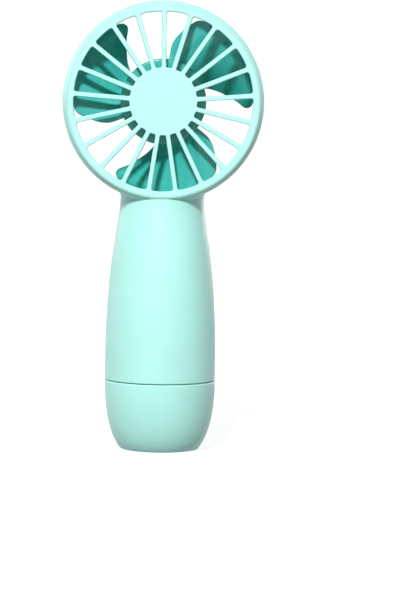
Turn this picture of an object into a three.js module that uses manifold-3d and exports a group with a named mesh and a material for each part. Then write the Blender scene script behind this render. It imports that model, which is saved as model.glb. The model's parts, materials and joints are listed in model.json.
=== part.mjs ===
// A pocket-size handheld electric fan: a flat drum head with a radial grille, on a round grip that swells
// towards the hand and ends in a screw-off battery cap. Millimetres, +Z up. The origin is the centre of the
// foot, and the air blows out of the front, towards -Y.
import * as THREE from "three";
import { mergeVertices } from "three/addons/utils/BufferGeometryUtils.js";
import Module from "manifold-3d";

const wasm = await Module();
wasm.setup();

// ---- Clearances
const FIT = 0.3; // between pieces that touch or are pressed together
const RUN = 0.1; // between a shaft and what it turns in
const PART_LINE = 0.1; // each housing half stops this far from the mid plane

// ---- Battery and its cradle
const CELL_R = 9.2;
const CELL_LENGTH = 65.2;
const CELL_FORWARD = 2; // the cell stands this far in front of the grip's axis
const CELL_BOTTOM_Z = 15.3;
const CELL_EDGE = 0.4;
const CELL_BUTTON_R = 2.8;
const CONTACT_R = 6.5;
const CONTACT_THICK = 0.4;
const STRIP_HALF_WIDTH = 2.2;
const CRADLE_WALL = 1.2;
const CRADLE_R = CELL_R + 0.4 + CRADLE_WALL;
const CRADLE_ROOF = 0.8;
const CRADLE_HOLE_R = 1.5; // in the cradle's roof, for the top contact's wire
const CELL_TOP_Z = CELL_BOTTOM_Z + CELL_LENGTH;
const HEADROOM = 9.5; // from the cell's top to the underside of the drum

// ---- Grip
const SHELL_WALL = 1.8;
const NECK_R = CELL_FORWARD + CRADLE_R + 0.5 + SHELL_WALL;
const GRIP_SWELL = 4.95; // how much wider the grip is than its neck
const GRIP_R = NECK_R + GRIP_SWELL;
const FOOT_INSET = 5.95; // from the grip's side to the edge of the foot
const SEAM_Z = 25.4; // where the cap meets the grip
const SEAM_GAP = 0.3;
const GRIP_STRAIGHT_TOP_Z = 34;
const NECK_TOP_Z = CELL_TOP_Z + HEADROOM;

// ---- Head
const DRUM_R = 36;
const HEAD_Z = NECK_TOP_Z + DRUM_R;
const FACE_Y = -(NECK_R + 0.4); // the grille's front face
const LIP_Y = FACE_Y + 0.3; // the housing's front edge
const REAR_Y = -LIP_Y;
const FRONT_BEVEL_R = 1.5;
const FRONT_BEVEL_Y = 2.7;
const REAR_ROUND = 0.5;
const DRUM_WALL = 2.8; // at the blades, in front
const REAR_WALL = 1; // where the air enters, the duct flares towards the back
const DUCT_R = DRUM_R - DRUM_WALL;
const DUCT_REAR_R = DRUM_R - REAR_WALL;
const FLARE_START_Y = FACE_Y + 7.5;
const FLARE_END_Y = REAR_Y - 7;

// ---- Grille
const GRILLE_THICK = 2.2;
const GRILLE_R = DRUM_R - 2.1;
const SPOKES = 21;
const SPOKE_WIDTH = 1.5;
const SLOT_INNER_R = 12;
const SLOT_OUTER_R = DUCT_R - 1.05;
const SLOT_ROUND_IN = 0.6;
const SLOT_ROUND_OUT = 1.1;

// ---- Impeller
const BLADES = 3;
const HUB_R = 15.35;
const HUB_FRONT_Y = FACE_Y + 4;
const HUB_REAR_Y = REAR_Y - 10.2; // leaves the bracket and its cap room behind the impeller
const HUB_WALL = 1.9;
const HUB_FRONT_THICK = 1.3;
const HUB_ROUND = 0.7;
const BLADE_TIP_R = DUCT_R - 0.6;
const BLADE_THICK = 1.2;
const BLADE_FRONT_Y = HUB_FRONT_Y + 1.6;
const BLADE_REAR_ROOT_Y = HUB_REAR_Y - 1.2;
const BLADE_REAR_TIP_Y = HUB_REAR_Y - 3;
// Outline of one blade: share of the way from hub to tip, leading edge and trailing edge in degrees.
const BLADE_OUTLINE = [
  [0, 20.5, 83.3],
  [0.27, 12, 82.5],
  [0.45, 6.3, 79.8],
  [0.66, 0.8, 74.6],
  [0.82, -3.3, 70.8],
  [0.94, -2.2, 67],
  [1, 4, 60],
];
const BLADE_COLUMNS = 6;

// ---- Motor
const SHAFT_R = 1;
const CAN_BOSS_R = 2.6; // the part of the rotor can that holds the shaft
const CAN_BOSS_LONG = 2.2;
const BEARING_R = 2.5;
const BEARING_LONG = 2;
const TUBE_WALL = 0.9;
const TUBE_FLANGE = 1.9; // how far the tube's rear flange stands out
const CLIP_THICK = 0.4;
const TUBE_R = BEARING_R + RUN + TUBE_WALL;
const CAN_R = HUB_R - HUB_WALL - FIT;
const CAN_WALL = 0.7;
const CAN_FRONT_THICK = 0.8;
const MAGNET_WALL = 1.4;
const MAGNET_R = CAN_R - CAN_WALL - RUN;
const STATOR_R = MAGNET_R - MAGNET_WALL - 0.5;
const STATOR_CORE_R = TUBE_R + 1.7;
const POLES = 6;
const POLE_WIDTH = 2.2;
const POLE_TIP_THICK = 1.2;
const POLE_TIP_WIDTH = 6.8;
const WINDING_THICK = 0.95;
const MOTOR_BOARD_THICK = 0.9;
const STATOR_FRONT_Y = HUB_FRONT_Y + 5.5;
const STATOR_LONG = 7;

// ---- Bracket behind the impeller
const BRACKET_R = HUB_R - 1.35;
const BRACKET_WALL = 1.6;
const BRACKET_FRONT_Y = HUB_REAR_Y + 0.6;
const BRACKET_REAR_Y = BRACKET_FRONT_Y + 7.6;
const BRACKET_PLATE_Y = BRACKET_FRONT_Y + 3;
const BRACKET_PLATE_THICK = 1.6;
const ARM_ANGLES = [40, 160, 280];
const ARM_WIDTH = 4.4;
const ARM_FRONT_Y = BRACKET_FRONT_Y + 1.4;
const ARM_THICK = 3.6;
const ARM_FOOT_WIDTH = 9;
const ARM_FOOT_THICK = 1.8;
const LEAD_R = 0.55;
const LEAD_SPREAD = 0.75; // each lead's distance from the middle of its groove
const LEAD_Y = ARM_FRONT_Y + 0.95;
const GROOVE_WIDTH = 3;
const GROOVE_DEEP = 1.9;
const LEAD_PASSAGE_SPARE = 0.4; // room beside the leads where they enter the grip
const LEAD_PASSAGE_LONG = 9; // from the drum's side to the passage's end

// ---- Threaded collar and cap
const COLLAR_BORE_R = CELL_FORWARD + CELL_R + 1.9;
const COLLAR_WALL = 2;
const COLLAR_R = COLLAR_BORE_R + COLLAR_WALL;
const COLLAR_FLANGE_R = COLLAR_R + 2.2;
const FLANGE_BOTTOM_Z = SEAM_Z + 1.2 + FIT;
const FLANGE_TOP_Z = FLANGE_BOTTOM_Z + 1.5;
const THREAD_LEAD = 6;
const THREAD_STARTS = 2;
const THREAD_DEPTH = 1.1;
const THREAD_CLEAR = 0.6; // radial, crest to root
const RIDGE_HALF_ROOT = 0.75;
const RIDGE_HALF_CREST = 0.4;
const RIDGE_SINK = 0.3; // a ridge is rooted this deep in its wall
const CAP_RIDGE_TURN = 0.6;
const SEAL_THICK = 1.4;
const SEAL_Z = SEAM_Z - 1.6;
const THREAD_TOP_Z = SEAL_Z - SEAL_THICK / 2 - 1.6 - RIDGE_HALF_ROOT;
const THREAD_BOTTOM_Z = THREAD_TOP_Z - THREAD_LEAD;
const COLLAR_BOTTOM_Z = THREAD_BOTTOM_Z - RIDGE_HALF_ROOT - 0.4;
const CAP_BORE_R = COLLAR_R + THREAD_DEPTH + THREAD_CLEAR;
const CAP_FLOOR_Z = 2.2;
const CAP_LEDGE_Z = 7.7;
const CAP_LEDGE_R = CAP_BORE_R - 4.4;
const FOOT_R = GRIP_R - FOOT_INSET;
const PAD_R = FOOT_R - 2;
const PAD_THICK = 1.2;
const FOOT_EDGE_Z = 0.3; // the rubber pad stands this far proud of the cap
const PLATE_Z = CAP_LEDGE_Z + FIT;
const PLATE_THICK = 0.8;
const PLATE_R = CAP_LEDGE_R + 1.1;
const SPRING_WIRE_R = 0.45;
const SPRING_TURNS = 4;
const SPRING_WIDE_R = 6;
const SPRING_NARROW_R = 3.4;

// ---- Control board and what stands on it
const BOARD_THICK = 1.2;
const BOARD_Y = CRADLE_R - CELL_FORWARD + 0.6;
const BOARD_BACK_Y = BOARD_Y + BOARD_THICK;
const PART_Y = BOARD_BACK_Y + 0.2; // where the board's components start
const BOARD_HALF_WIDTH = 10;
const BOARD_BOTTOM_Z = 34.5;
const BOARD_TOP_Z = 74;
const PORT_Z = 41.5;
const PORT_WIDTH = 8.9;
const PORT_HIGH = 3.2;
const PORT_TONGUE_WIDTH = 6.6;
const PORT_TONGUE_HIGH = 0.7;
const LED_Z = 54;
const LED_SPACING = 3.5;
const LEDS = 3;
const PIPE_HALF_WIDTH = 5;
const PIPE_HALF_HIGH = 0.9;
const BUTTON_Z = 65;
const BUTTON_R = 5;
const BUTTON_FLANGE_R = 6;
const BUTTON_TRAVEL = 0.6;
const BUTTON_FLANGE_THICK = 0.9;
const BEZEL_WALL = 1.3;
const SWITCH_HALF = 3;
const PLUNGER_R = 1.6;
const CHIP_AT = [-5.5, LED_Z - 6.5];
const INDUCTOR_AT = [4.6, LED_Z + 4.6];
const CHIP_SIZE = 4;
const CHIP_THICK = 1;
const INDUCTOR_THICK = 2;
const BOARD_SCREW_R = 0.75;
const BOARD_SCREW_HEAD_R = 1.5;
const BOARD_SCREWS = [
  [-7.6, 69],
  [7.6, 50],
];

// ---- Housing screws, as x and z
const LOWER_SCREW_X = GRIP_R - SHELL_WALL - 4.05;
const HOUSING_SCREWS = [
  [0, NECK_TOP_Z - 4.4],
  [-LOWER_SCREW_X, 34],
  [LOWER_SCREW_X, 34],
];
const SCREW_SHANK_R = 0.9;
const SCREW_HEAD_R = 1.9;
const SCREW_HEAD_Y = 5.5;
const SCREW_HEAD_THICK = 1.4;
const SCREW_REACH = 11;
const BOSS_R = 2.6;

// ---- Smoothness
const ROUND_LARGE = 48;
const ROUND_GRIP = 32;
const ROUND_SMALL = 16;
const ROUND_TINY = 12;
const GRIP_CURVE_STEPS = 8;
const CAP_CURVE_STEPS = 6;
const RIDGE_STEPS = 18; // per turn of thread

// ======================================================================= solids

const radians = THREE.MathUtils.degToRad;

// A closed three.js geometry as a manifold solid that faces outwards.
function toSolid(geometry) {
  const bare = geometry.index ? geometry.toNonIndexed() : geometry.clone();
  for (const name of Object.keys(bare.attributes)) {
    if (name !== "position") bare.deleteAttribute(name);
  }
  const merged = mergeVertices(bare);
  const corners = merged.index.array;
  const facing = [];
  const reversed = [];
  for (let i = 0; i < corners.length; i += 3) {
    const [a, b, c] = [corners[i], corners[i + 1], corners[i + 2]];
    if (a === b || b === c || c === a) continue;
    facing.push(a, b, c);
    reversed.push(a, c, b);
  }
  const build = (triangles) =>
    new wasm.Manifold(
      new wasm.Mesh({
        numProp: 3,
        vertProperties: merged.attributes.position.array,
        triVerts: new Uint32Array(triangles),
      }),
    );
  const solid = build(facing);
  return solid.volume() < 0 ? build(reversed) : solid;
}

function join(first, ...others) {
  return others.reduce((sum, other) => sum.add(other), first);
}

function cut(first, ...tools) {
  return tools.reduce((rest, tool) => rest.subtract(tool), first);
}

function lathe(profile, segments) {
  const points = profile.map(([radius, height]) => new THREE.Vector2(radius, height));
  return new THREE.LatheGeometry(points, segments);
}

// Turns a profile of [radius, z] about the grip's axis, or about a parallel axis at x, y.
function revolveZ(profile, segments = ROUND_GRIP, x = 0, y = 0) {
  return toSolid(lathe(profile, segments).rotateX(Math.PI / 2).translate(x, y, 0));
}

// Turns a profile of [radius, y] about the impeller's axis.
function revolveY(profile, segments = ROUND_LARGE) {
  return toSolid(lathe(profile, segments).translate(0, 0, HEAD_Z));
}

// A ring of rectangular section as a closed profile.
function ringProfile(innerR, outerR, low, high) {
  return [
    [innerR, low],
    [outerR, low],
    [outerR, high],
    [innerR, high],
    [innerR, low],
  ];
}

function boxGeometry([x0, y0, z0], [x1, y1, z1]) {
  const box = new THREE.BoxGeometry(x1 - x0, y1 - y0, z1 - z0);
  return box.translate((x0 + x1) / 2, (y0 + y1) / 2, (z0 + z1) / 2);
}

function block(low, high) {
  return toSolid(boxGeometry(low, high));
}

function pinY(radius, y0, y1, x, z, segments = ROUND_SMALL) {
  const pin = new THREE.CylinderGeometry(radius, radius, y1 - y0, segments);
  return toSolid(pin.translate(x, (y0 + y1) / 2, z));
}

// Places a geometry made around the impeller's axis at the origin, turned by an angle seen from the front.
function onHead(geometry, degrees = 0) {
  return toSolid(geometry.rotateY(-radians(degrees)).translate(0, 0, HEAD_Z));
}

// A rectangle with rounded ends, standing in the XZ plane and extruded from y0 to y1.
function stadium(halfWidth, halfHigh, y0, y1, z) {
  const flat = halfWidth - halfHigh;
  const outline = new THREE.Shape();
  outline.absarc(flat, 0, halfHigh, -Math.PI / 2, Math.PI / 2);
  outline.absarc(-flat, 0, halfHigh, Math.PI / 2, (3 * Math.PI) / 2);
  const body = new THREE.ExtrudeGeometry(outline, {
    depth: y1 - y0,
    bevelEnabled: false,
    curveSegments: 6,
  });
  return toSolid(body.rotateX(Math.PI / 2).translate(0, y1, z));
}

// ======================================================================= outer forms

function curvePoints(corners, count) {
  const [start, first, second, end] = corners.map(([r, z]) => new THREE.Vector2(r, z));
  const curve = new THREE.CubicBezierCurve(start, first, second, end);
  return curve.getPoints(count).map((point) => [point.x, point.y]);
}

// The grip's side from its straight part up to the neck.
function gripSide() {
  const rise = NECK_TOP_Z - GRIP_STRAIGHT_TOP_Z;
  return curvePoints(
    [
      [GRIP_R, GRIP_STRAIGHT_TOP_Z],
      [GRIP_R, GRIP_STRAIGHT_TOP_Z + 0.56 * rise],
      [NECK_R, NECK_TOP_Z - 0.115 * rise],
      [NECK_R, NECK_TOP_Z],
    ],
    GRIP_CURVE_STEPS,
  );
}

// The grip's outer radius at a height above the straight part.
function gripRadiusAt(z) {
  const side = gripSide();
  const above = side.findIndex((point) => point[1] >= z);
  if (above < 1) return GRIP_R;
  const [lowR, lowZ] = side[above - 1];
  const [highR, highZ] = side[above];
  return lowR + ((highR - lowR) * (z - lowZ)) / (highZ - lowZ);
}

function gripOuter() {
  return revolveZ([
    [0, SEAM_Z],
    [GRIP_R - 0.25, SEAM_Z],
    [GRIP_R, SEAM_Z + 0.25],
    ...gripSide(),
    [NECK_R, HEAD_Z],
    [0, HEAD_Z],
  ]);
}

function drumOuter() {
  return revolveY([
    [0, LIP_Y],
    [DRUM_R - FRONT_BEVEL_R, LIP_Y],
    [DRUM_R, LIP_Y + FRONT_BEVEL_Y],
    [DRUM_R, REAR_Y - REAR_ROUND],
    [DRUM_R - REAR_ROUND * 0.3, REAR_Y - REAR_ROUND * 0.3],
    [DRUM_R - REAR_ROUND, REAR_Y],
    [0, REAR_Y],
  ]);
}

// The air's way through the head, and the seat that the grille sits in. It can be made smaller all round.
function ductSpace(inset = 0) {
  const seatY = FACE_Y + GRILLE_THICK + FIT;
  return revolveY([
    [0, FACE_Y - 1],
    [GRILLE_R + FIT - inset, FACE_Y - 1],
    [GRILLE_R + FIT - inset, seatY],
    [DUCT_R - inset, seatY],
    [DUCT_R - inset, FLARE_START_Y],
    [DUCT_R + (DUCT_REAR_R - DUCT_R) * 0.6 - inset, 0],
    [DUCT_REAR_R - inset, FLARE_END_Y],
    [DUCT_REAR_R - inset, REAR_Y + 1],
    [0, REAR_Y + 1],
  ]);
}

// The hollow of the grip: the collar's hole, its flange's groove and the room above.
function gripSpace() {
  const wallR = GRIP_R - SHELL_WALL;
  const roof = NECK_TOP_Z - 1.6;
  const inside = gripSide()
    .map(([r, z]) => [r - SHELL_WALL, z])
    .filter(([, z]) => z < roof - 2);
  return revolveZ([
    [0, SEAM_Z - 1],
    [COLLAR_R + FIT, SEAM_Z - 1],
    [COLLAR_R + FIT, FLANGE_BOTTOM_Z - FIT],
    [wallR, FLANGE_BOTTOM_Z - FIT],
    [wallR, FLANGE_TOP_Z + FIT],
    [COLLAR_FLANGE_R - 1.2, FLANGE_TOP_Z + FIT],
    [COLLAR_FLANGE_R - 1.2, FLANGE_TOP_Z + FIT + 1],
    [wallR, FLANGE_TOP_Z + FIT + 1],
    ...inside,
    [NECK_R - SHELL_WALL, roof - 2],
    [NECK_R - SHELL_WALL - 4, roof],
    [0, roof],
  ]);
}

// ======================================================================= housing

const housingBlank = cut(join(gripOuter(), drumOuter()), ductSpace());
const housingShell = housingBlank.subtract(gripSpace());
const FAR = DRUM_R + HEAD_Z;
const frontSide = block([-FAR, -FAR, -FAR], [FAR, -PART_LINE, FAR]);
const rearSide = block([-FAR, PART_LINE, -FAR], [FAR, FAR, FAR]);

function bosses(radius) {
  const posts = HOUSING_SCREWS.map(([x, z]) => pinY(radius, -FAR, FAR, x, z));
  return join(...posts).intersect(housingBlank);
}

function frontHousing() {
  const shell = join(housingShell, bosses(BOSS_R)).intersect(frontSide);
  const holeEnd = SCREW_HEAD_Y - SCREW_REACH - FIT;
  const holes = HOUSING_SCREWS.map(([x, z]) => pinY(SCREW_SHANK_R + RUN, holeEnd, 1, x, z));
  return cut(shell, ...holes);
}

// Where the leads leave the bottom arm and run down into the grip.
function leadPassage() {
  const half = GROOVE_WIDTH / 2 + LEAD_PASSAGE_SPARE;
  const reach = LEAD_R + LEAD_SPREAD;
  const tunnel = boxGeometry(
    [DUCT_R - 2, LEAD_Y - reach, -half],
    [DRUM_R + LEAD_PASSAGE_LONG, LEAD_Y + reach, half],
  );
  return onHead(tunnel, ARM_ANGLES[2]);
}

function rearHousing() {
  const shell = join(housingShell, bosses(BOSS_R + 0.3)).intersect(rearSide);
  const counterbores = HOUSING_SCREWS.map(([x, z]) =>
    pinY(SCREW_HEAD_R + RUN + 0.1, SCREW_HEAD_Y - FIT, FAR, x, z),
  );
  const holes = HOUSING_SCREWS.map(([x, z]) => pinY(SCREW_SHANK_R + 0.2, 0, FAR, x, z));
  return cut(
    shell,
    ...counterbores,
    ...holes,
    leadPassage(),
    pinY(BUTTON_R + FIT + BEZEL_WALL + FIT, BOARD_BACK_Y, FAR, 0, BUTTON_Z),
    stadium(PORT_WIDTH / 2 + FIT, PORT_HIGH / 2 + FIT, BOARD_BACK_Y, FAR, PORT_Z),
    stadium(PIPE_HALF_WIDTH + FIT, PIPE_HALF_HIGH + FIT, BOARD_BACK_Y, FAR, LED_Z),
  );
}

// ======================================================================= grille

// One slot between two parallel-sided spokes, its corners rounded, as a path around the axis.
function slotPath(middle) {
  const pitch = Math.PI / SPOKES;
  const halfAt = (radius) => pitch - Math.asin(SPOKE_WIDTH / 2 / radius);
  const at = (radius, offset) => [
    radius * Math.cos(middle + offset),
    radius * Math.sin(middle + offset),
  ];
  const inHalf = halfAt(SLOT_INNER_R);
  const outHalf = halfAt(SLOT_OUTER_R);
  const lowR = SLOT_INNER_R + SLOT_ROUND_IN;
  const highR = SLOT_OUTER_R - SLOT_ROUND_OUT;
  const outTrim = SLOT_ROUND_OUT / SLOT_OUTER_R;
  const inTrim = SLOT_ROUND_IN / SLOT_INNER_R;
  const path = new THREE.Path();
  path.moveTo(...at(lowR, -halfAt(lowR)));
  path.lineTo(...at(highR, -halfAt(highR)));
  path.quadraticCurveTo(...at(SLOT_OUTER_R, -outHalf), ...at(SLOT_OUTER_R, outTrim - outHalf));
  path.absarc(0, 0, SLOT_OUTER_R, middle + outTrim - outHalf, middle + outHalf - outTrim);
  path.quadraticCurveTo(...at(SLOT_OUTER_R, outHalf), ...at(highR, halfAt(highR)));
  path.lineTo(...at(lowR, halfAt(lowR)));
  path.quadraticCurveTo(...at(SLOT_INNER_R, inHalf), ...at(SLOT_INNER_R, inHalf - inTrim));
  path.lineTo(...at(SLOT_INNER_R, inTrim - inHalf));
  path.quadraticCurveTo(...at(SLOT_INNER_R, -inHalf), ...at(lowR, -halfAt(lowR)));
  return path;
}

function frontGrille() {
  const plate = new THREE.Shape();
  const steps = ROUND_LARGE;
  for (let i = 0; i < steps; i += 1) {
    const angle = (i / steps) * 2 * Math.PI;
    const point = [GRILLE_R * Math.cos(angle), GRILLE_R * Math.sin(angle)];
    if (i === 0) plate.moveTo(...point);
    else plate.lineTo(...point);
  }
  for (let i = 0; i < SPOKES; i += 1) {
    const firstSlot = Math.PI / 2 + Math.PI / SPOKES; // one spoke stands straight up
    plate.holes.push(slotPath(firstSlot + (i / SPOKES) * 2 * Math.PI));
  }
  const body = new THREE.ExtrudeGeometry(plate, {
    depth: GRILLE_THICK,
    bevelEnabled: false,
    curveSegments: 2,
  });
  return onHead(body.rotateX(Math.PI / 2).translate(0, FACE_Y + GRILLE_THICK, 0));
}

// ======================================================================= impeller

function mix(from, to, share) {
  return from + (to - from) * share;
}

// One blade as a closed grid: rows from hub to tip, columns from the leading edge to the trailing edge.
function bladeGeometry() {
  const rows = BLADE_OUTLINE.length;
  const columns = BLADE_COLUMNS;
  const places = [];
  for (const side of [-1, 1]) {
    BLADE_OUTLINE.forEach(([share, lead, trail], row) => {
      const radius = row === 0 ? HUB_R - 0.8 : mix(HUB_R, BLADE_TIP_R, share);
      const rearY = mix(BLADE_REAR_ROOT_Y, BLADE_REAR_TIP_Y, share);
      for (let column = 0; column < columns; column += 1) {
        const across = column / (columns - 1);
        const angle = radians(mix(lead, trail, across));
        const y = mix(rearY, BLADE_FRONT_Y, Math.sin((across * Math.PI) / 2));
        places.push(radius * Math.cos(angle), y + (side * BLADE_THICK) / 2, radius * Math.sin(angle));
      }
    });
  }
  const at = (side, row, column) => (side * rows + row) * columns + column;
  const faces = [];
  const quad = (a, b, c, d) => faces.push(a, b, c, a, c, d);
  for (let row = 0; row + 1 < rows; row += 1) {
    for (let column = 0; column + 1 < columns; column += 1) {
      const [r, c] = [row, column];
      quad(at(0, r, c), at(0, r, c + 1), at(0, r + 1, c + 1), at(0, r + 1, c));
      quad(at(1, r, c), at(1, r + 1, c), at(1, r + 1, c + 1), at(1, r, c + 1));
    }
    const end = columns - 1;
    quad(at(0, row, 0), at(0, row + 1, 0), at(1, row + 1, 0), at(1, row, 0));
    quad(at(0, row, end), at(1, row, end), at(1, row + 1, end), at(0, row + 1, end));
  }
  for (let column = 0; column + 1 < columns; column += 1) {
    const tip = rows - 1;
    quad(at(0, 0, column), at(1, 0, column), at(1, 0, column + 1), at(0, 0, column + 1));
    quad(at(0, tip, column), at(0, tip, column + 1), at(1, tip, column + 1), at(1, tip, column));
  }
  const geometry = new THREE.BufferGeometry();
  geometry.setAttribute("position", new THREE.Float32BufferAttribute(places, 3));
  geometry.setIndex(faces);
  return geometry;
}

function impeller() {
  const insideR = HUB_R - HUB_WALL;
  const cup = revolveY([
    [0, HUB_FRONT_Y],
    [HUB_R - HUB_ROUND, HUB_FRONT_Y],
    [HUB_R - 0.2, HUB_FRONT_Y + 0.2],
    [HUB_R, HUB_FRONT_Y + HUB_ROUND],
    [HUB_R, HUB_REAR_Y],
    [insideR, HUB_REAR_Y],
    [insideR, HUB_FRONT_Y + HUB_FRONT_THICK],
    [0, HUB_FRONT_Y + HUB_FRONT_THICK],
  ]);
  const blades = [];
  for (let i = 0; i < BLADES; i += 1) blades.push(onHead(bladeGeometry(), (i * 360) / BLADES));
  return join(cup, ...blades);
}

// ======================================================================= motor

const CAN_FRONT_Y = HUB_FRONT_Y + HUB_FRONT_THICK + FIT;

function rotorCan() {
  const inside = CAN_FRONT_Y + CAN_FRONT_THICK;
  const rim = HUB_REAR_Y - 0.8;
  const bossEnd = CAN_FRONT_Y + CAN_BOSS_LONG;
  return revolveY(
    [
      [SHAFT_R + RUN, CAN_FRONT_Y],
      [CAN_R, CAN_FRONT_Y],
      [CAN_R, rim],
      [CAN_R - CAN_WALL, rim],
      [CAN_R - CAN_WALL, inside],
      [CAN_BOSS_R, inside],
      [CAN_BOSS_R, bossEnd],
      [SHAFT_R + RUN, bossEnd],
      [SHAFT_R + RUN, CAN_FRONT_Y],
    ],
    ROUND_GRIP,
  );
}

function magnetRing() {
  const profile = ringProfile(
    MAGNET_R - MAGNET_WALL,
    MAGNET_R,
    STATOR_FRONT_Y - 1,
    STATOR_FRONT_Y + STATOR_LONG + 1,
  );
  return revolveY(profile, ROUND_GRIP);
}

const TUBE_FRONT_Y = STATOR_FRONT_Y - 0.6;
const TUBE_REAR_Y = BRACKET_PLATE_Y + BRACKET_PLATE_THICK + FIT;

function bearingTube() {
  const bore = BEARING_R + RUN;
  return revolveY(
    [
      [bore, TUBE_FRONT_Y],
      [TUBE_R, TUBE_FRONT_Y],
      [TUBE_R, TUBE_REAR_Y],
      [TUBE_R + TUBE_FLANGE, TUBE_REAR_Y],
      [TUBE_R + TUBE_FLANGE, TUBE_REAR_Y + TUBE_WALL],
      [bore, TUBE_REAR_Y + TUBE_WALL],
      [bore, TUBE_FRONT_Y],
    ],
    ROUND_SMALL,
  );
}

function bearing(frontY) {
  return revolveY(ringProfile(SHAFT_R + RUN, BEARING_R, frontY, frontY + BEARING_LONG), ROUND_SMALL);
}

const CLIP_Y = TUBE_REAR_Y - 1.6;

function motorShaft() {
  return pinY(SHAFT_R, CAN_FRONT_Y, TUBE_REAR_Y - 0.6, 0, HEAD_Z);
}

function retainingClip() {
  return revolveY(ringProfile(SHAFT_R + RUN, BEARING_R - 0.5, CLIP_Y, CLIP_Y + CLIP_THICK), ROUND_SMALL);
}

// The laminated core: a ring with six T-shaped poles.
function statorCore() {
  const ring = revolveY(
    ringProfile(TUBE_R + RUN, STATOR_CORE_R, STATOR_FRONT_Y, STATOR_FRONT_Y + STATOR_LONG),
    ROUND_SMALL,
  );
  const tipRing = revolveY(
    ringProfile(STATOR_R - POLE_TIP_THICK, STATOR_R, STATOR_FRONT_Y, STATOR_FRONT_Y + STATOR_LONG),
    ROUND_GRIP,
  );
  const parts = [ring];
  for (let i = 0; i < POLES; i += 1) {
    const angle = (i * 360) / POLES;
    const yEnds = [STATOR_FRONT_Y, STATOR_FRONT_Y + STATOR_LONG];
    const arm = boxGeometry(
      [STATOR_CORE_R - 0.5, yEnds[0], -POLE_WIDTH / 2],
      [STATOR_R - 0.4, yEnds[1], POLE_WIDTH / 2],
    );
    const tip = boxGeometry(
      [STATOR_R - 3, yEnds[0] - 1, -POLE_TIP_WIDTH / 2],
      [STATOR_R + 1, yEnds[1] + 1, POLE_TIP_WIDTH / 2],
    );
    parts.push(onHead(arm, angle), onHead(tip, angle).intersect(tipRing));
  }
  return join(...parts);
}

function statorCoil(index) {
  const angle = (index * 360) / POLES;
  const inner = STATOR_CORE_R + 0.4;
  const outer = STATOR_R - POLE_TIP_THICK - 0.3;
  const hollow = POLE_WIDTH / 2 + 0.15;
  const half = hollow + WINDING_THICK;
  const [front, rear] = [STATOR_FRONT_Y - 0.2, STATOR_FRONT_Y + STATOR_LONG + 0.2];
  const winding = onHead(boxGeometry([inner, front - 1, -half], [outer, rear + 1, half]), angle);
  return winding.subtract(onHead(boxGeometry([0, front, -hollow], [STATOR_R, rear, hollow]), angle));
}

function motorBoard() {
  const front = BRACKET_FRONT_Y + 0.6;
  const outer = BRACKET_R - BRACKET_WALL - FIT;
  return revolveY(ringProfile(TUBE_R + 0.2, outer, front, front + MOTOR_BOARD_THICK), ROUND_SMALL);
}

// ======================================================================= bracket and leads

function motorBracket() {
  const insideR = BRACKET_R - BRACKET_WALL;
  const plateY = BRACKET_PLATE_Y;
  const hub = revolveY(
    [
      [TUBE_R + 0.2, plateY],
      [insideR, plateY],
      [insideR, BRACKET_FRONT_Y],
      [BRACKET_R, BRACKET_FRONT_Y],
      [BRACKET_R, BRACKET_REAR_Y],
      [insideR, BRACKET_REAR_Y],
      [insideR, plateY + BRACKET_PLATE_THICK],
      [TUBE_R + 0.2, plateY + BRACKET_PLATE_THICK],
      [TUBE_R + 0.2, plateY],
    ],
    ROUND_GRIP,
  );
  const armRear = ARM_FRONT_Y + ARM_THICK;
  const footInner = DUCT_REAR_R - FIT - ARM_FOOT_THICK;
  const arms = ARM_ANGLES.map((angle) => {
    const bar = boxGeometry(
      [BRACKET_R - 0.8, ARM_FRONT_Y, -ARM_WIDTH / 2],
      [DRUM_R, armRear, ARM_WIDTH / 2],
    );
    const foot = boxGeometry(
      [footInner, ARM_FRONT_Y - 1, -ARM_FOOT_WIDTH / 2],
      [DRUM_R, armRear + 2.5, ARM_FOOT_WIDTH / 2],
    );
    return onHead(bar, angle).add(onHead(foot, angle));
  });
  const groove = boxGeometry(
    [0, ARM_FRONT_Y - 2, -GROOVE_WIDTH / 2],
    [DRUM_R, ARM_FRONT_Y + GROOVE_DEEP, GROOVE_WIDTH / 2],
  );
  const body = join(hub, join(...arms).intersect(ductSpace(FIT)));
  return body.subtract(onHead(groove, ARM_ANGLES[2]));
}

function rearHubCap() {
  const plugR = BRACKET_R - BRACKET_WALL - FIT;
  const seat = BRACKET_REAR_Y + 0.2;
  return revolveY(
    [
      [0, BRACKET_REAR_Y - 1.2],
      [plugR, BRACKET_REAR_Y - 1.2],
      [plugR, seat],
      [BRACKET_R, seat],
      [BRACKET_R, seat + 0.4],
      [BRACKET_R - 0.9, seat + 0.9],
      [0, seat + 1.1],
    ],
    ROUND_GRIP,
  );
}

// A round wire along a smooth curve through its points.
function wire(points, radius, steps, sides = 6) {
  const outline = new THREE.Shape();
  outline.absarc(0, 0, radius, 0, 2 * Math.PI);
  const path = new THREE.CatmullRomCurve3(points);
  const body = new THREE.ExtrudeGeometry(outline, {
    steps,
    extrudePath: path,
    curveSegments: sides / 2,
  });
  return toSolid(body);
}

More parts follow.
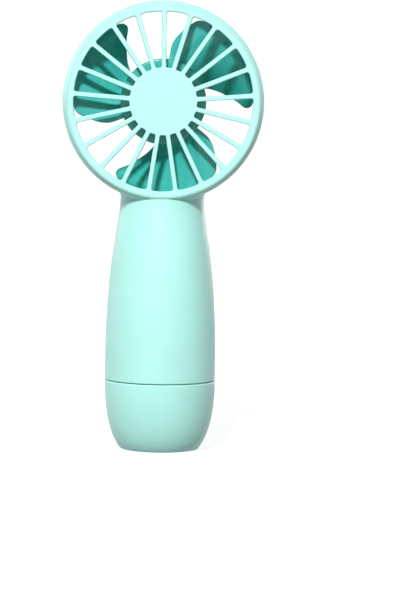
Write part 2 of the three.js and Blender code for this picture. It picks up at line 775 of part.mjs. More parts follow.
// A lead from the motor board, along the bottom arm and down the neck to the back of the control board.
function motorLead(side) {
  const angle = radians(ARM_ANGLES[2]);
  const alongArm = (radius) =>
    new THREE.Vector3(
      radius * Math.cos(angle) - side * LEAD_SPREAD * Math.sin(angle),
      LEAD_Y,
      HEAD_Z + radius * Math.sin(angle) + side * LEAD_SPREAD * Math.cos(angle),
    );
  const x = alongArm(DRUM_R + 5).x;
  const points = [
    alongArm(BRACKET_R - 4.5),
    alongArm(BRACKET_R + 3),
    alongArm(DUCT_R - 6),
    alongArm(DRUM_R + 1),
    alongArm(DRUM_R + 6),
    new THREE.Vector3(x, BOARD_Y + 0.3, BOARD_TOP_Z + 4.4),
    new THREE.Vector3(x, BOARD_BACK_Y + 0.9, BOARD_TOP_Z + 0.8),
    new THREE.Vector3(x, BOARD_BACK_Y + 0.9, BOARD_TOP_Z - 2.5),
  ];
  return wire(points, LEAD_R, 18);
}

// ======================================================================= battery and contacts

const CRADLE_TOP_Z = CELL_TOP_Z + 2.1;

function batteryCradle() {
  const insideR = CRADLE_R - CRADLE_WALL;
  const bottom = FLANGE_TOP_Z + 1.5;
  const roof = CRADLE_TOP_Z - CRADLE_ROOF;
  const tube = revolveZ(
    [
      [insideR, bottom],
      [CRADLE_R, bottom],
      [CRADLE_R, CRADLE_TOP_Z],
      [CRADLE_HOLE_R, CRADLE_TOP_Z],
      [CRADLE_HOLE_R, roof],
      [insideR, roof],
      [insideR, bottom],
    ],
    ROUND_SMALL,
    0,
    -CELL_FORWARD,
  );
  const bore = revolveZ(
    [
      [0, 0],
      [insideR, 0],
      [insideR, CELL_TOP_Z],
      [0, CELL_TOP_Z],
    ],
    ROUND_SMALL,
    0,
    -CELL_FORWARD,
  );
  const [padX, padZ] = [BOARD_SCREW_R + 0.85, BOARD_SCREW_R + 1.25];
  const pads = BOARD_SCREWS.map(([x, z]) =>
    block([x - padX, 0, z - padZ], [x + padX, BOARD_Y - FIT, z + padZ]),
  );
  const holeR = BOARD_SCREW_R + 0.15;
  const holes = BOARD_SCREWS.map(([x, z]) => pinY(holeR, BOARD_Y - 3, BOARD_Y + 1, x, z, ROUND_TINY));
  return cut(join(tube, ...pads), bore, ...holes);
}

function batteryCell() {
  const shoulder = CELL_TOP_Z - 0.5;
  return revolveZ(
    [
      [0, CELL_BOTTOM_Z],
      [CELL_R - CELL_EDGE, CELL_BOTTOM_Z],
      [CELL_R, CELL_BOTTOM_Z + CELL_EDGE],
      [CELL_R, shoulder - CELL_EDGE],
      [CELL_R - CELL_EDGE, shoulder],
      [CELL_BUTTON_R, shoulder],
      [CELL_BUTTON_R, CELL_TOP_Z],
      [0, CELL_TOP_Z],
    ],
    ROUND_SMALL,
    0,
    -CELL_FORWARD,
  );
}

function topContact() {
  const plate = CELL_TOP_Z + 0.6;
  return revolveZ(
    [
      [0, CELL_TOP_Z + 0.3],
      [2, CELL_TOP_Z + 0.3],
      [2.4, plate],
      [CONTACT_R, plate],
      [CONTACT_R, plate + CONTACT_THICK],
      [0, plate + CONTACT_THICK],
    ],
    ROUND_SMALL,
    0,
    -CELL_FORWARD,
  );
}

// A strip from the control board, down inside the collar, to the rim of the cap's contact plate.
function groundStrip() {
  const y = COLLAR_BORE_R - 1.5;
  const topZ = PORT_Z - PORT_HIGH / 2 - 1;
  const half = STRIP_HALF_WIDTH;
  const strip = block([-half, y, PLATE_Z + PLATE_THICK + FIT], [half, y + CONTACT_THICK, topZ]);
  return strip.add(block([-half, PART_Y, topZ - 1.6], [half, y + CONTACT_THICK / 2, topZ]));
}

function contactPlate() {
  return revolveZ([
    [0, PLATE_Z],
    [PLATE_R, PLATE_Z],
    [PLATE_R, PLATE_Z + PLATE_THICK],
    [0, PLATE_Z + PLATE_THICK],
  ]);
}

function batterySpring() {
  const low = PLATE_Z + PLATE_THICK + SPRING_WIRE_R + 0.2;
  const high = CELL_BOTTOM_Z - SPRING_WIRE_R - 0.2;
  const points = [];
  const perTurn = 8;
  for (let i = 0; i <= SPRING_TURNS * perTurn; i += 1) {
    const share = i / (SPRING_TURNS * perTurn);
    const angle = share * SPRING_TURNS * 2 * Math.PI;
    const radius = mix(SPRING_WIDE_R, SPRING_NARROW_R, share);
    points.push(
      new THREE.Vector3(
        radius * Math.cos(angle),
        radius * Math.sin(angle) - CELL_FORWARD,
        mix(low, high, share),
      ),
    );
  }
  return wire(points, SPRING_WIRE_R, SPRING_TURNS * perTurn);
}

// ======================================================================= collar, seal and cap

// A helical ridge of trapezoid section that climbs one lead per turn.
function helicalRidge(rootR, crestR, startZ, startAngle, turns) {
  const steps = Math.ceil(turns * RIDGE_STEPS);
  const places = [];
  for (let i = 0; i <= steps; i += 1) {
    const turned = (i / steps) * turns;
    const angle = startAngle + turned * 2 * Math.PI;
    const z = startZ + turned * THREAD_LEAD;
    const corners = [
      [rootR, z - RIDGE_HALF_ROOT],
      [crestR, z - RIDGE_HALF_CREST],
      [crestR, z + RIDGE_HALF_CREST],
      [rootR, z + RIDGE_HALF_ROOT],
    ];
    for (const [r, height] of corners) places.push(r * Math.cos(angle), r * Math.sin(angle), height);
  }
  const faces = [0, 1, 2, 0, 2, 3];
  for (let i = 0; i < steps; i += 1) {
    for (let side = 0; side < 4; side += 1) {
      const [a, b] = [4 * i + side, 4 * i + ((side + 1) % 4)];
      faces.push(a, a + 4, b + 4, a, b + 4, b);
    }
  }
  const last = 4 * steps;
  faces.push(last, last + 2, last + 1, last, last + 3, last + 2);
  const geometry = new THREE.BufferGeometry();
  geometry.setAttribute("position", new THREE.Float32BufferAttribute(places, 3));
  geometry.setIndex(faces);
  return toSolid(geometry);
}

function threadedCollar() {
  const body = revolveZ([
    [COLLAR_BORE_R, COLLAR_BOTTOM_Z],
    [COLLAR_R, COLLAR_BOTTOM_Z],
    [COLLAR_R, FLANGE_BOTTOM_Z],
    [COLLAR_FLANGE_R, FLANGE_BOTTOM_Z],
    [COLLAR_FLANGE_R, FLANGE_TOP_Z],
    [COLLAR_BORE_R, FLANGE_TOP_Z],
    [COLLAR_BORE_R, COLLAR_BOTTOM_Z],
  ]);
  const ridges = [];
  for (let start = 0; start < THREAD_STARTS; start += 1) {
    const angle = (start / THREAD_STARTS) * 2 * Math.PI;
    ridges.push(
      helicalRidge(COLLAR_R - RIDGE_SINK, COLLAR_R + THREAD_DEPTH, THREAD_BOTTOM_Z, angle, 1),
    );
  }
  return join(body, ...ridges);
}

function capSeal() {
  const inner = COLLAR_R + FIT;
  const outer = CAP_BORE_R - FIT;
  return revolveZ(ringProfile(inner, outer, SEAL_Z - SEAL_THICK / 2, SEAL_Z + SEAL_THICK / 2));
}

function capSide() {
  return curvePoints(
    [
      [FOOT_R, FOOT_EDGE_Z],
      [GRIP_R - 2.3, 4],
      [GRIP_R, 13],
      [GRIP_R, SEAM_Z - SEAM_GAP - 0.25],
    ],
    CAP_CURVE_STEPS,
  );
}

function bottomCap() {
  const rimZ = SEAM_Z - SEAM_GAP;
  const shell = revolveZ([
    [0, FOOT_EDGE_Z],
    ...capSide(),
    [GRIP_R - 0.25, rimZ],
    [CAP_BORE_R, rimZ],
    [CAP_BORE_R, CAP_LEDGE_Z + 3],
    [PLATE_R + FIT, CAP_LEDGE_Z + 2.2],
    [PLATE_R + FIT, CAP_LEDGE_Z],
    [CAP_LEDGE_R, CAP_LEDGE_Z],
    [CAP_LEDGE_R, CAP_FLOOR_Z],
    [0, CAP_FLOOR_Z],
  ]);
  const recess = revolveZ([
    [0, -1],
    [PAD_R + FIT, -1],
    [PAD_R + FIT, PAD_THICK],
    [0, PAD_THICK],
  ]);
  const ridges = [];
  for (let start = 0; start < THREAD_STARTS; start += 1) {
    const angle = (start / THREAD_STARTS) * 2 * Math.PI;
    const pitch = THREAD_LEAD / THREAD_STARTS;
    ridges.push(
      helicalRidge(
        CAP_BORE_R + RIDGE_SINK,
        COLLAR_R + THREAD_CLEAR,
        THREAD_BOTTOM_Z + pitch / 2,
        angle,
        CAP_RIDGE_TURN,
      ),
    );
  }
  return join(shell.subtract(recess), ...ridges);
}

function footPad() {
  return revolveZ([
    [0, 0],
    [PAD_R - 0.3, 0],
    [PAD_R, 0.3],
    [PAD_R, PAD_THICK - 0.2],
    [0, PAD_THICK - 0.2],
  ]);
}

// ======================================================================= board and controls

function controlBoard() {
  const board = block(
    [-BOARD_HALF_WIDTH, BOARD_Y, BOARD_BOTTOM_Z],
    [BOARD_HALF_WIDTH, BOARD_BACK_Y, BOARD_TOP_Z],
  );
  const holeR = BOARD_SCREW_R + 0.25;
  const holes = BOARD_SCREWS.map(([x, z]) =>
    pinY(holeR, BOARD_Y - 1, BOARD_BACK_Y + 1, x, z, ROUND_TINY),
  );
  return cut(board, ...holes);
}

function boardScrew(index) {
  const [x, z] = BOARD_SCREWS[index];
  const shank = pinY(BOARD_SCREW_R, BOARD_Y - 2.4, PART_Y + 0.4, x, z, ROUND_TINY);
  return shank.add(pinY(BOARD_SCREW_HEAD_R, PART_Y, PART_Y + 0.9, x, z, ROUND_SMALL));
}

function chargeSocket() {
  const mouth = gripRadiusAt(PORT_Z) - 0.5;
  const shell = stadium(PORT_WIDTH / 2, PORT_HIGH / 2, PART_Y, mouth, PORT_Z);
  const inside = stadium(PORT_WIDTH / 2 - 0.3, PORT_HIGH / 2 - 0.3, PART_Y + 1, mouth + 1, PORT_Z);
  const tongue = block(
    [-PORT_TONGUE_WIDTH / 2, PART_Y + 0.5, PORT_Z - PORT_TONGUE_HIGH / 2],
    [PORT_TONGUE_WIDTH / 2, mouth - 0.7, PORT_Z + PORT_TONGUE_HIGH / 2],
  );
  return shell.subtract(inside).add(tongue);
}

function statusLed(index) {
  const x = (index - (LEDS - 1) / 2) * LED_SPACING;
  return block([x - 0.8, PART_Y, LED_Z - 0.5], [x + 0.8, PART_Y + 0.7, LED_Z + 0.5]);
}

function lightPipe() {
  const face = gripRadiusAt(LED_Z + PIPE_HALF_HIGH) - 0.5;
  return stadium(PIPE_HALF_WIDTH, PIPE_HALF_HIGH, PART_Y + 1, face, LED_Z);
}

// A square component on the back of the board.
function chip([x, z], thick) {
  const half = CHIP_SIZE / 2;
  return block([x - half, PART_Y, z - half], [x + half, PART_Y + thick, z + half]);
}

// The button's layout, from the wall of the grip inwards.
const WALL_AT_BUTTON_R = gripRadiusAt(BUTTON_Z + BUTTON_R);
const BUTTON_FACE_Y = WALL_AT_BUTTON_R + 0.3;
const BUTTON_SEAT_Y = Math.sqrt((WALL_AT_BUTTON_R - SHELL_WALL) ** 2 - BUTTON_FLANGE_R ** 2);
const FLANGE_BACK_Y = BUTTON_SEAT_Y - FIT;
const FLANGE_IN_Y = FLANGE_BACK_Y - BUTTON_FLANGE_THICK;
const BUTTON_STEM = 0.5;
const PLUNGER_TOP_Y = FLANGE_IN_Y - BUTTON_STEM - BUTTON_TRAVEL - RUN;

function tactSwitch() {
  const body = block(
    [-SWITCH_HALF, PART_Y, BUTTON_Z - SWITCH_HALF],
    [SWITCH_HALF, PLUNGER_TOP_Y - 0.4, BUTTON_Z + SWITCH_HALF],
  );
  return body.add(pinY(PLUNGER_R, PART_Y + 0.5, PLUNGER_TOP_Y, 0, BUTTON_Z));
}

function powerButton() {
  const stem = pinY(PLUNGER_R, FLANGE_IN_Y - BUTTON_STEM, FLANGE_IN_Y + 0.2, 0, BUTTON_Z);
  const flange = pinY(BUTTON_FLANGE_R, FLANGE_IN_Y, FLANGE_BACK_Y, 0, BUTTON_Z);
  const face = pinY(BUTTON_R, FLANGE_IN_Y, BUTTON_FACE_Y, 0, BUTTON_Z);
  return join(stem, flange, face);
}

function buttonBezel() {
  const inner = BUTTON_R + FIT;
  const tube = pinY(inner + BEZEL_WALL, FLANGE_BACK_Y + FIT, BUTTON_FACE_Y - 0.2, 0, BUTTON_Z);
  return tube.subtract(pinY(inner, 0, FAR, 0, BUTTON_Z));
}

function housingScrew(index) {
  const [x, z] = HOUSING_SCREWS[index];
  const tip = SCREW_HEAD_Y - SCREW_REACH;
  const shank = pinY(SCREW_SHANK_R, tip, SCREW_HEAD_Y + 0.5, x, z, ROUND_TINY);
  const head = pinY(SCREW_HEAD_R, SCREW_HEAD_Y, SCREW_HEAD_Y + SCREW_HEAD_THICK, x, z, ROUND_SMALL);
  const slotY = SCREW_HEAD_Y + SCREW_HEAD_THICK - 0.5;
  const across = block([x - 1.2, slotY, z - 0.3], [x + 1.2, slotY + 1, z + 0.3]);
  const upright = block([x - 0.3, slotY, z - 1.2], [x + 0.3, slotY + 1, z + 1.2]);
  return cut(shank.add(head), across, upright);
}

// ======================================================================= the fan

const looks = {
  mint: { color: 0xa9efe0, roughness: 0.5, metalness: 0 },
  deepTeal: { color: 0x2c7f76, roughness: 0.35, metalness: 0 },
  steel: { color: 0xb9bdc0, roughness: 0.3, metalness: 1 },
  brass: { color: 0xc9a34e, roughness: 0.35, metalness: 1 },
  copper: { color: 0xb4622d, roughness: 0.35, metalness: 1 },
  magnet: { color: 0x3a3b3f, roughness: 0.6, metalness: 0.5 },
  board: { color: 0x1e5b39, roughness: 0.5, metalness: 0 },
  black: { color: 0x1b1c1e, roughness: 0.5, metalness: 0 },
  white: { color: 0xeef2f0, roughness: 0.4, metalness: 0 },
  cell: { color: 0x3f8fc4, roughness: 0.35, metalness: 0 },
  rubber: { color: 0x7fbfb4, roughness: 0.85, metalness: 0 },
  red: { color: 0xb3231f, roughness: 0.5, metalness: 0 },
  clear: { color: 0xf2fbff, roughness: 0.1, metalness: 0 },
};

const fan = new THREE.Group();

function addPiece(name, solid, look) {
  const mesh = solid.getMesh();
  const geometry = new THREE.BufferGeometry();
  geometry.setAttribute("position", new THREE.BufferAttribute(mesh.vertProperties, 3));
  geometry.setIndex(new THREE.BufferAttribute(mesh.triVerts, 1));
  geometry.computeVertexNormals();
  const piece = new THREE.Mesh(geometry, new THREE.MeshStandardMaterial(looks[look]));
  piece.name = name;
  fan.add(piece);
}

addPiece("front_housing", frontHousing(), "mint");
addPiece("rear_housing", rearHousing(), "mint");
addPiece("front_grille", frontGrille(), "mint");
addPiece("impeller", impeller(), "deepTeal");
addPiece("rotor_can", rotorCan(), "steel");
addPiece("magnet_ring", magnetRing(), "magnet");
addPiece("motor_shaft", motorShaft(), "steel");
addPiece("retaining_clip", retainingClip(), "steel");
addPiece("bearing_tube", bearingTube(), "brass");
addPiece("front_bearing", bearing(TUBE_FRONT_Y + 0.6), "steel");
addPiece("rear_bearing", bearing(CLIP_Y - BEARING_LONG - 0.4), "steel");
addPiece("stator_core", statorCore(), "magnet");
for (let i = 0; i < POLES; i += 1) addPiece(`stator_coil_${i + 1}`, statorCoil(i), "copper");
addPiece("motor_board", motorBoard(), "board");
addPiece("motor_bracket", motorBracket(), "mint");
addPiece("rear_hub_cap", rearHubCap(), "mint");
addPiece("motor_lead_red", motorLead(1), "red");
addPiece("motor_lead_black", motorLead(-1), "black");
addPiece("battery_cradle", batteryCradle(), "white");
addPiece("battery_cell", batteryCell(), "cell");
addPiece("top_contact", topContact(), "steel");
addPiece("ground_strip", groundStrip(), "steel");
addPiece("contact_plate", contactPlate(), "steel");
addPiece("battery_spring", batterySpring(), "steel");
addPiece("threaded_collar", threadedCollar(), "white");
addPiece("cap_seal", capSeal(), "rubber");
addPiece("bottom_cap", bottomCap(), "mint");
addPiece("foot_pad", footPad(), "rubber");
addPiece("control_board", controlBoard(), "board");
for (let i = 0; i < BOARD_SCREWS.length; i += 1) addPiece(`board_screw_${i + 1}`, boardScrew(i), "steel");
addPiece("charge_chip", chip(CHIP_AT, CHIP_THICK), "black");
addPiece("boost_inductor", chip(INDUCTOR_AT, INDUCTOR_THICK), "magnet");
addPiece("charge_socket", chargeSocket(), "steel");
for (let i = 0; i < LEDS; i += 1) addPiece(`status_led_${i + 1}`, statusLed(i), "white");
addPiece("light_pipe", lightPipe(), "clear");
addPiece("tact_switch", tactSwitch(), "black");
addPiece("power_button", powerButton(), "white");
addPiece("button_bezel", buttonBezel(), "mint");
for (let i = 0; i < HOUSING_SCREWS.length; i += 1) {
  addPiece(`housing_screw_${i + 1}`, housingScrew(i), "steel");
}

export default fan;
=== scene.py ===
"""The looks of a handheld electric fan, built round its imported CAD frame.

Lengths in this file are millimetres unless a name says otherwise, in the frame's own axes: +Z up the
grip and -Y out of the front grille. build() turns them into metres.
"""

import json
import math

import bmesh
import bpy
import numpy as np
from mathutils import Euler, Matrix, Vector
from mathutils.geometry import tessellate_polygon


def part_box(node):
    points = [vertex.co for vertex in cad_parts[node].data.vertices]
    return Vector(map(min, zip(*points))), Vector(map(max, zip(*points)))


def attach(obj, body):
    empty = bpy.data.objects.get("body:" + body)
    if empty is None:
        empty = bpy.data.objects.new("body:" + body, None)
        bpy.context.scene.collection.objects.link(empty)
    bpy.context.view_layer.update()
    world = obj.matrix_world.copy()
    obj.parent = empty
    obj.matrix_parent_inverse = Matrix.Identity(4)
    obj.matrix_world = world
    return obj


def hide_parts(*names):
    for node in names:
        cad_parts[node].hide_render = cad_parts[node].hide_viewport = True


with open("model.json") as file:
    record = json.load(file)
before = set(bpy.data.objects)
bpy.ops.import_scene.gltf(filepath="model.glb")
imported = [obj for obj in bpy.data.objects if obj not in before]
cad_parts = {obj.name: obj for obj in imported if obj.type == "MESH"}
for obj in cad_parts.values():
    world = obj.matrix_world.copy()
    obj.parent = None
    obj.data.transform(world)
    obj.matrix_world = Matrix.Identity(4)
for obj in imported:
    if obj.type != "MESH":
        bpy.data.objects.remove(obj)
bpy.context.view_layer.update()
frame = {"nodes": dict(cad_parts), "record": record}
scene = bpy.context.scene
MM = 0.001


def low(node):
    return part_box(node)[0] / MM


def high(node):
    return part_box(node)[1] / MM


# ---------------------------------------------------------------- sizes read from the frame
DRUM_R = high("front_housing").x
HEAD_Z = high("front_housing").z - DRUM_R
SEAM_Z = low("front_housing").z
GRIP_R = high("rear_housing").y
FACE_Y = low("front_grille").y
GRILLE_BACK_Y = high("front_grille").y
GRILLE_R = high("front_grille").x
HUB_FRONT_Y = low("impeller").y
HUB_REAR_Y = high("impeller").y
BRACKET_FRONT_Y = low("motor_bracket").y
CAP_TOP_Z = high("bottom_cap").z
PORT_Z = (low("charge_socket").z + high("charge_socket").z) / 2
LIGHT_Z = (low("light_pipe").z + high("light_pipe").z) / 2
BUTTON_Z = (low("power_button").z + high("power_button").z) / 2

# ---------------------------------------------------------------- sizes of the outer form
FIT = 0.3  # the gap between pieces that meet
REAR_Y = -(FACE_Y + 0.3)
LIP_Y = FACE_Y + 0.04  # the grille stands out of the drum's lip by a hair
NECK_R = -FACE_Y - 0.4
NECK_TOP_Z = HEAD_Z - DRUM_R
GRIP_STRAIGHT_TOP_Z = 34
GRIP_WALL = 1.8
BEVEL_R = 1.5
BEVEL_Y = 2.7
DUCT_R = DRUM_R - 2.8
DUCT_REAR_R = DRUM_R - 1
GRILLE_GAP = 0.06  # what is seen of the joint round the grille
PART_LINE = 0.1  # half the gap between the front and the rear shell
FILLET_R = 3

# ---------------------------------------------------------------- fasteners and threads
SIDE_SCREW_X, SIDE_SCREW_Z = 14.2, 34
SCREWS = [(0, NECK_TOP_Z - 4.4), (-SIDE_SCREW_X, SIDE_SCREW_Z), (SIDE_SCREW_X, SIDE_SCREW_Z)]
SCREW_LONG = 11  # from its tip to the seat of its head
SCREW_HEAD_Y = low("housing_screw_1").y + SCREW_LONG
COLLAR_FLANGE = 1.5
THREAD_LEAD = 6
THREAD_STARTS = (0, math.pi)

# ---------------------------------------------------------------- grille and impeller
PLATE_R = GRILLE_R + FIT - GRILLE_GAP
SPOKES = 21
SPOKE_WIDTH = 1.45  # in front; the slots taper towards the back
EDGE = 0.16  # rounding of the slots' front edges
BACK_EDGE = 0.12  # rounding of their back edges
DRAFT = 0.15  # how much narrower a slot is at its back, on each side
SLOT_INNER_R = 12
SLOT_OUTER_R = DUCT_R - 1.05
HUB_R = 15.35
BLADE_TIP_R = DUCT_R - 0.6
BLADE_THICK = 1.0
BLADE_FRONT_Y = HUB_FRONT_Y + 1.6
BLADES = 3
BRACKET_R = HUB_R - 1.35
ARM_ANGLES = (40, 160, 280)
LEAD_ARM = ARM_ANGLES[2]  # the arm that carries the motor's leads

# One blade's outline: share of the way from hub to tip, leading edge and trailing edge in degrees.
BLADE_OUTLINE = [
    (0, 20.5, 83.3),
    (0.27, 12, 82.5),
    (0.45, 6.3, 79.8),
    (0.66, 0.8, 74.6),
    (0.82, -3.3, 70.8),
    (0.94, -2.2, 67),
    (1, 4, 60),
]

ROUND = 180  # segments of a large turned form
ROUND_SMALL = 64


# ================================================================ mesh tools


def build(name, points, faces):
    """A mesh object from points in millimetres, welded, with its faces turned outwards."""
    mesh = bpy.data.meshes.new(name)
    mesh.from_pydata((np.asarray(points, float).reshape(-1, 3) * MM).tolist(), [], faces)
    solid = bmesh.new()
    solid.from_mesh(mesh)
    bmesh.ops.remove_doubles(solid, verts=solid.verts, dist=1e-7)
    bmesh.ops.recalc_face_normals(solid, faces=solid.faces)
    solid.to_mesh(mesh)
    solid.free()
    piece = bpy.data.objects.new(name, mesh)
    scene.collection.objects.link(piece)
    return piece


def grid_faces(rows, columns, wrap_rows=False, wrap_columns=False):
    faces = []
    for row in range(rows if wrap_rows else rows - 1):
        above = (row + 1) % rows
        for column in range(columns if wrap_columns else columns - 1):
            beside = (column + 1) % columns
            corners = [(row, column), (row, beside), (above, beside), (above, column)]
            faces.append([r * columns + c for r, c in corners])
    return faces


def rounded(corners, steps=4):
    """A profile through corners of (radius, height, rounding), each corner rounded by an arc."""
    points = []
    for i, corner in enumerate(corners):
        here = Vector(corner[:2])
        size = corner[2] if len(corner) > 2 else 0
        if size == 0:
            points.append(tuple(here))
            continue
        back = (Vector(corners[i - 1][:2]) - here).normalized()
        ahead = (Vector(corners[(i + 1) % len(corners)][:2]) - here).normalized()
        half = back.angle(ahead) / 2
        start = here + back * size / math.tan(half)
        end = here + ahead * size / math.tan(half)
        centre = here + (back + ahead).normalized() * size / math.sin(half)
        for step in range(steps + 1):
            arm = (start - centre).lerp(end - centre, step / steps)
            points.append(tuple(centre + arm.normalized() * size))
    return points


def lathe(name, profile, axis="Y", centre=(0, 0), steps=ROUND, ring=False):
    """Turns a profile of (radius, height) about an axis along Y or Z. A ring's profile closes on itself."""
    radius, along = np.array([point[:2] for point in profile], float).T
    angles = np.arange(steps) / steps * 2 * math.pi
    first = centre[0] + np.outer(radius, np.cos(angles))
    second = centre[1] + np.outer(radius, np.sin(angles))
    along = np.repeat(along[:, None], steps, axis=1)
    layers = [first, along, second] if axis == "Y" else [first, second, along]
    return build(name, np.stack(layers, -1), grid_faces(len(profile), steps, ring, True))


def on_head(name, profile, steps=ROUND, ring=False):
    return lathe(name, profile, "Y", (0, HEAD_Z), steps, ring)


def box(name, corner, opposite, rounding=0.0):
    """A box between two corners, its edges rounded."""
    corner, opposite = Vector(corner), Vector(opposite)
    solid = bmesh.new()
    bmesh.ops.create_cube(solid, size=1)
    size = opposite - corner
    place = Matrix.Translation((corner + opposite) / 2) @ Matrix.Diagonal((*size, 1))
    bmesh.ops.transform(solid, matrix=place, verts=solid.verts)
    if rounding:
        bmesh.ops.bevel(
            solid, geom=solid.edges[:], offset=rounding, segments=3, profile=0.5, affect="EDGES"
        )
    points = [vertex.co[:] for vertex in solid.verts]
    faces = [[vertex.index for vertex in face.verts] for face in solid.faces]
    solid.free()
    return build(name, points, faces)


def turned_on_head(piece, degrees):
    """Turns a piece made round the Y axis at the origin, and places it round the impeller's axis."""
    turn = Matrix.Rotation(-math.radians(degrees), 4, "Y")
    piece.data.transform(Matrix.Translation((0, 0, HEAD_Z * MM)) @ turn)
    return piece


def layered(name, loops_at, levels, place):
    """A plate with holes whose outline changes with depth. loops_at(inset) gives the outer loop and the
    holes, levels are (inset, depth) from face to face, and place(u, v, depth) gives a point."""
    points, counts = [], [len(loop) for loop in loops_at(0)]
    for inset, depth in levels:
        for loop in loops_at(inset):
            points += [place(u, v, depth) for u, v in loop]
    size = sum(counts)
    faces = []
    for level in range(len(levels) - 1):
        start = level * size
        for count in counts:
            for i in range(count):
                a, b = start + i, start + (i + 1) % count
                faces.append([a, b, b + size, a + size])
            start += count
    for level in (0, len(levels) - 1):
        loops = [[Vector((u, v, 0)) for u, v in loop] for loop in loops_at(levels[level][0])]
        for corners in tessellate_polygon(loops):
            faces.append([corner + level * size for corner in corners])
    return build(name, points, faces)


def combine(piece, tool, operation="UNION"):
    """Joins, cuts or intersects a closed piece with another, which is used up."""
    step = piece.modifiers.new("combine", "BOOLEAN")
    step.object, step.operation, step.solver = tool, operation, "MANIFOLD"
    graph = bpy.context.evaluated_depsgraph_get()
    made = bpy.data.meshes.new_from_object(piece.evaluated_get(graph))
    piece.modifiers.clear()
    piece.data = made
    bpy.data.objects.remove(tool)
    return piece


def cut(piece, *tools):
    for tool in tools:
        combine(piece, tool, "DIFFERENCE")
    return piece


def smooth_through(corners, count):
    """Evenly spaced points on a smooth curve through given points (Catmull-Rom)."""
    known = np.array(corners, float)
    padded = np.vstack([2 * known[0] - known[1], known, 2 * known[-1] - known[-2]])
    points = []
    for t in np.linspace(0, len(known) - 1, count):
        i = min(int(t), len(known) - 2)
        a, b, c, d = padded[i : i + 4]
        s = t - i
        bend_2 = 2 * a - 5 * b + 4 * c - d
        bend_3 = 3 * b - a - 3 * c + d
        points.append(0.5 * (2 * b + (c - a) * s + bend_2 * s**2 + bend_3 * s**3))
    return np.array(points)


def tube(name, line, radius, sides=14):
    """A round wire with closed ends along a line of points."""
    line = np.asarray(line, float)
    along = np.gradient(line, axis=0)
    along /= np.linalg.norm(along, axis=1)[:, None]
    askew = (0.3, 0.5, 0.8)  # any direction that no wire runs along
    side = np.cross(along[0], askew)
    rings, angles = [], np.arange(sides) / sides * 2 * math.pi
    for i, (point, ahead) in enumerate(zip(line, along)):
        side = side - (side @ ahead) * ahead
        side /= np.linalg.norm(side)
        other = np.cross(ahead, side)
        ring_r = radius * (0.0 if i in (0, len(line) - 1) else 1.0)
        rings.append(point + ring_r * (np.outer(np.cos(angles), side) + np.outer(np.sin(angles), other)))
    return build(name, rings, grid_faces(len(line), sides, wrap_columns=True))


def cubic(a, b, c, d, count):
    """Points on the curve from a to d that b and c pull towards themselves."""
    t = np.linspace(0, 1, count)[:, None]
    a, b, c, d = (np.array(p, float) for p in (a, b, c, d))
    return (1 - t) ** 3 * a + 3 * (1 - t) ** 2 * t * b + 3 * (1 - t) * t**2 * c + t**3 * d


# ================================================================ housing


def grip_side(count=44):
    rise = NECK_TOP_Z - GRIP_STRAIGHT_TOP_Z
    return cubic(
        (GRIP_R, GRIP_STRAIGHT_TOP_Z),
        (GRIP_R, GRIP_STRAIGHT_TOP_Z + 0.56 * rise),
        (NECK_R, NECK_TOP_Z - 0.115 * rise),
        (NECK_R, NECK_TOP_Z),
        count,
    )


def drum():
    profile = rounded(
        [
            (0, LIP_Y),
            (DRUM_R - BEVEL_R, LIP_Y, 0.2),
            (DRUM_R, LIP_Y + BEVEL_Y, 1.6),
            (DRUM_R, REAR_Y, 0.6),
            (0, REAR_Y),
        ],
        steps=6,
    )
    return on_head("drum", profile)


def drum_radius_at(y):
    """The drum's radius where its front edge is bevelled."""
    return DRUM_R - BEVEL_R * np.clip((LIP_Y + BEVEL_Y - y) / BEVEL_Y, 0, 1)


def grip(columns=144):
    """The grip, whose top flares into the drum's underside. The fillet is widest at the sides, and there is
    none in front and behind, where the neck is flush with the drum's faces."""
    widest_to, none_from = 13, 68  # degrees round from the side
    least_r, reach_share = 0.05, 0.98  # below 1, so that the arc ends a little inside the drum
    angle = np.arange(columns) / columns * 2 * math.pi
    across, forward = np.cos(angle), np.sin(angle)
    aside = np.degrees(np.arccos(np.abs(across)))
    share = np.clip((none_from - aside) / (none_from - widest_to), 0, 1)
    radius = least_r + FILLET_R * share**2 * (3 - 2 * share)
    ball_r = NECK_R + radius
    reach = drum_radius_at(ball_r * forward) + reach_share * radius
    ball_z = HEAD_Z - np.sqrt(reach**2 - (ball_r * across) ** 2)

    rows = []
    side = grip_side()
    bottom = rounded([(0, SEAM_Z), (GRIP_R, SEAM_Z, 0.35), (GRIP_R, GRIP_STRAIGHT_TOP_Z)], steps=4)
    lower = bottom[:-1] + [tuple(p) for p in side if p[1] < NECK_TOP_Z - 2]
    for r, z in lower:
        rows.append(np.stack([r * across, r * forward, np.full(columns, z)], -1))
    start_r, start_z = lower[-1]
    for s in (0.35, 0.7):
        r = start_r + (NECK_R - start_r) * s
        rows.append(np.stack([r * across, r * forward, start_z + (ball_z - start_z) * s], -1))
    # the arc, from the neck's side to the drum's underside
    to_neck = np.stack([-across, -forward, np.zeros(columns)], -1)
    to_drum = np.stack([-ball_r * across / reach, np.zeros(columns), (HEAD_Z - ball_z) / reach], -1)
    centre = np.stack([ball_r * across, ball_r * forward, ball_z], -1)
    for s in np.linspace(0, 1, 11):
        arm = to_neck * (1 - s) + to_drum * s
        arm /= np.linalg.norm(arm, axis=1)[:, None]
        rows.append(centre + arm * radius[:, None])
    # and on into the drum's wall, where the top closes
    rows.append(rows[-1] + to_drum * 1.6)
    rows.append(np.tile([0, 0, NECK_TOP_Z + 1.5], (columns, 1)))
    return build("grip", np.array(rows), grid_faces(len(rows), columns, wrap_columns=True))


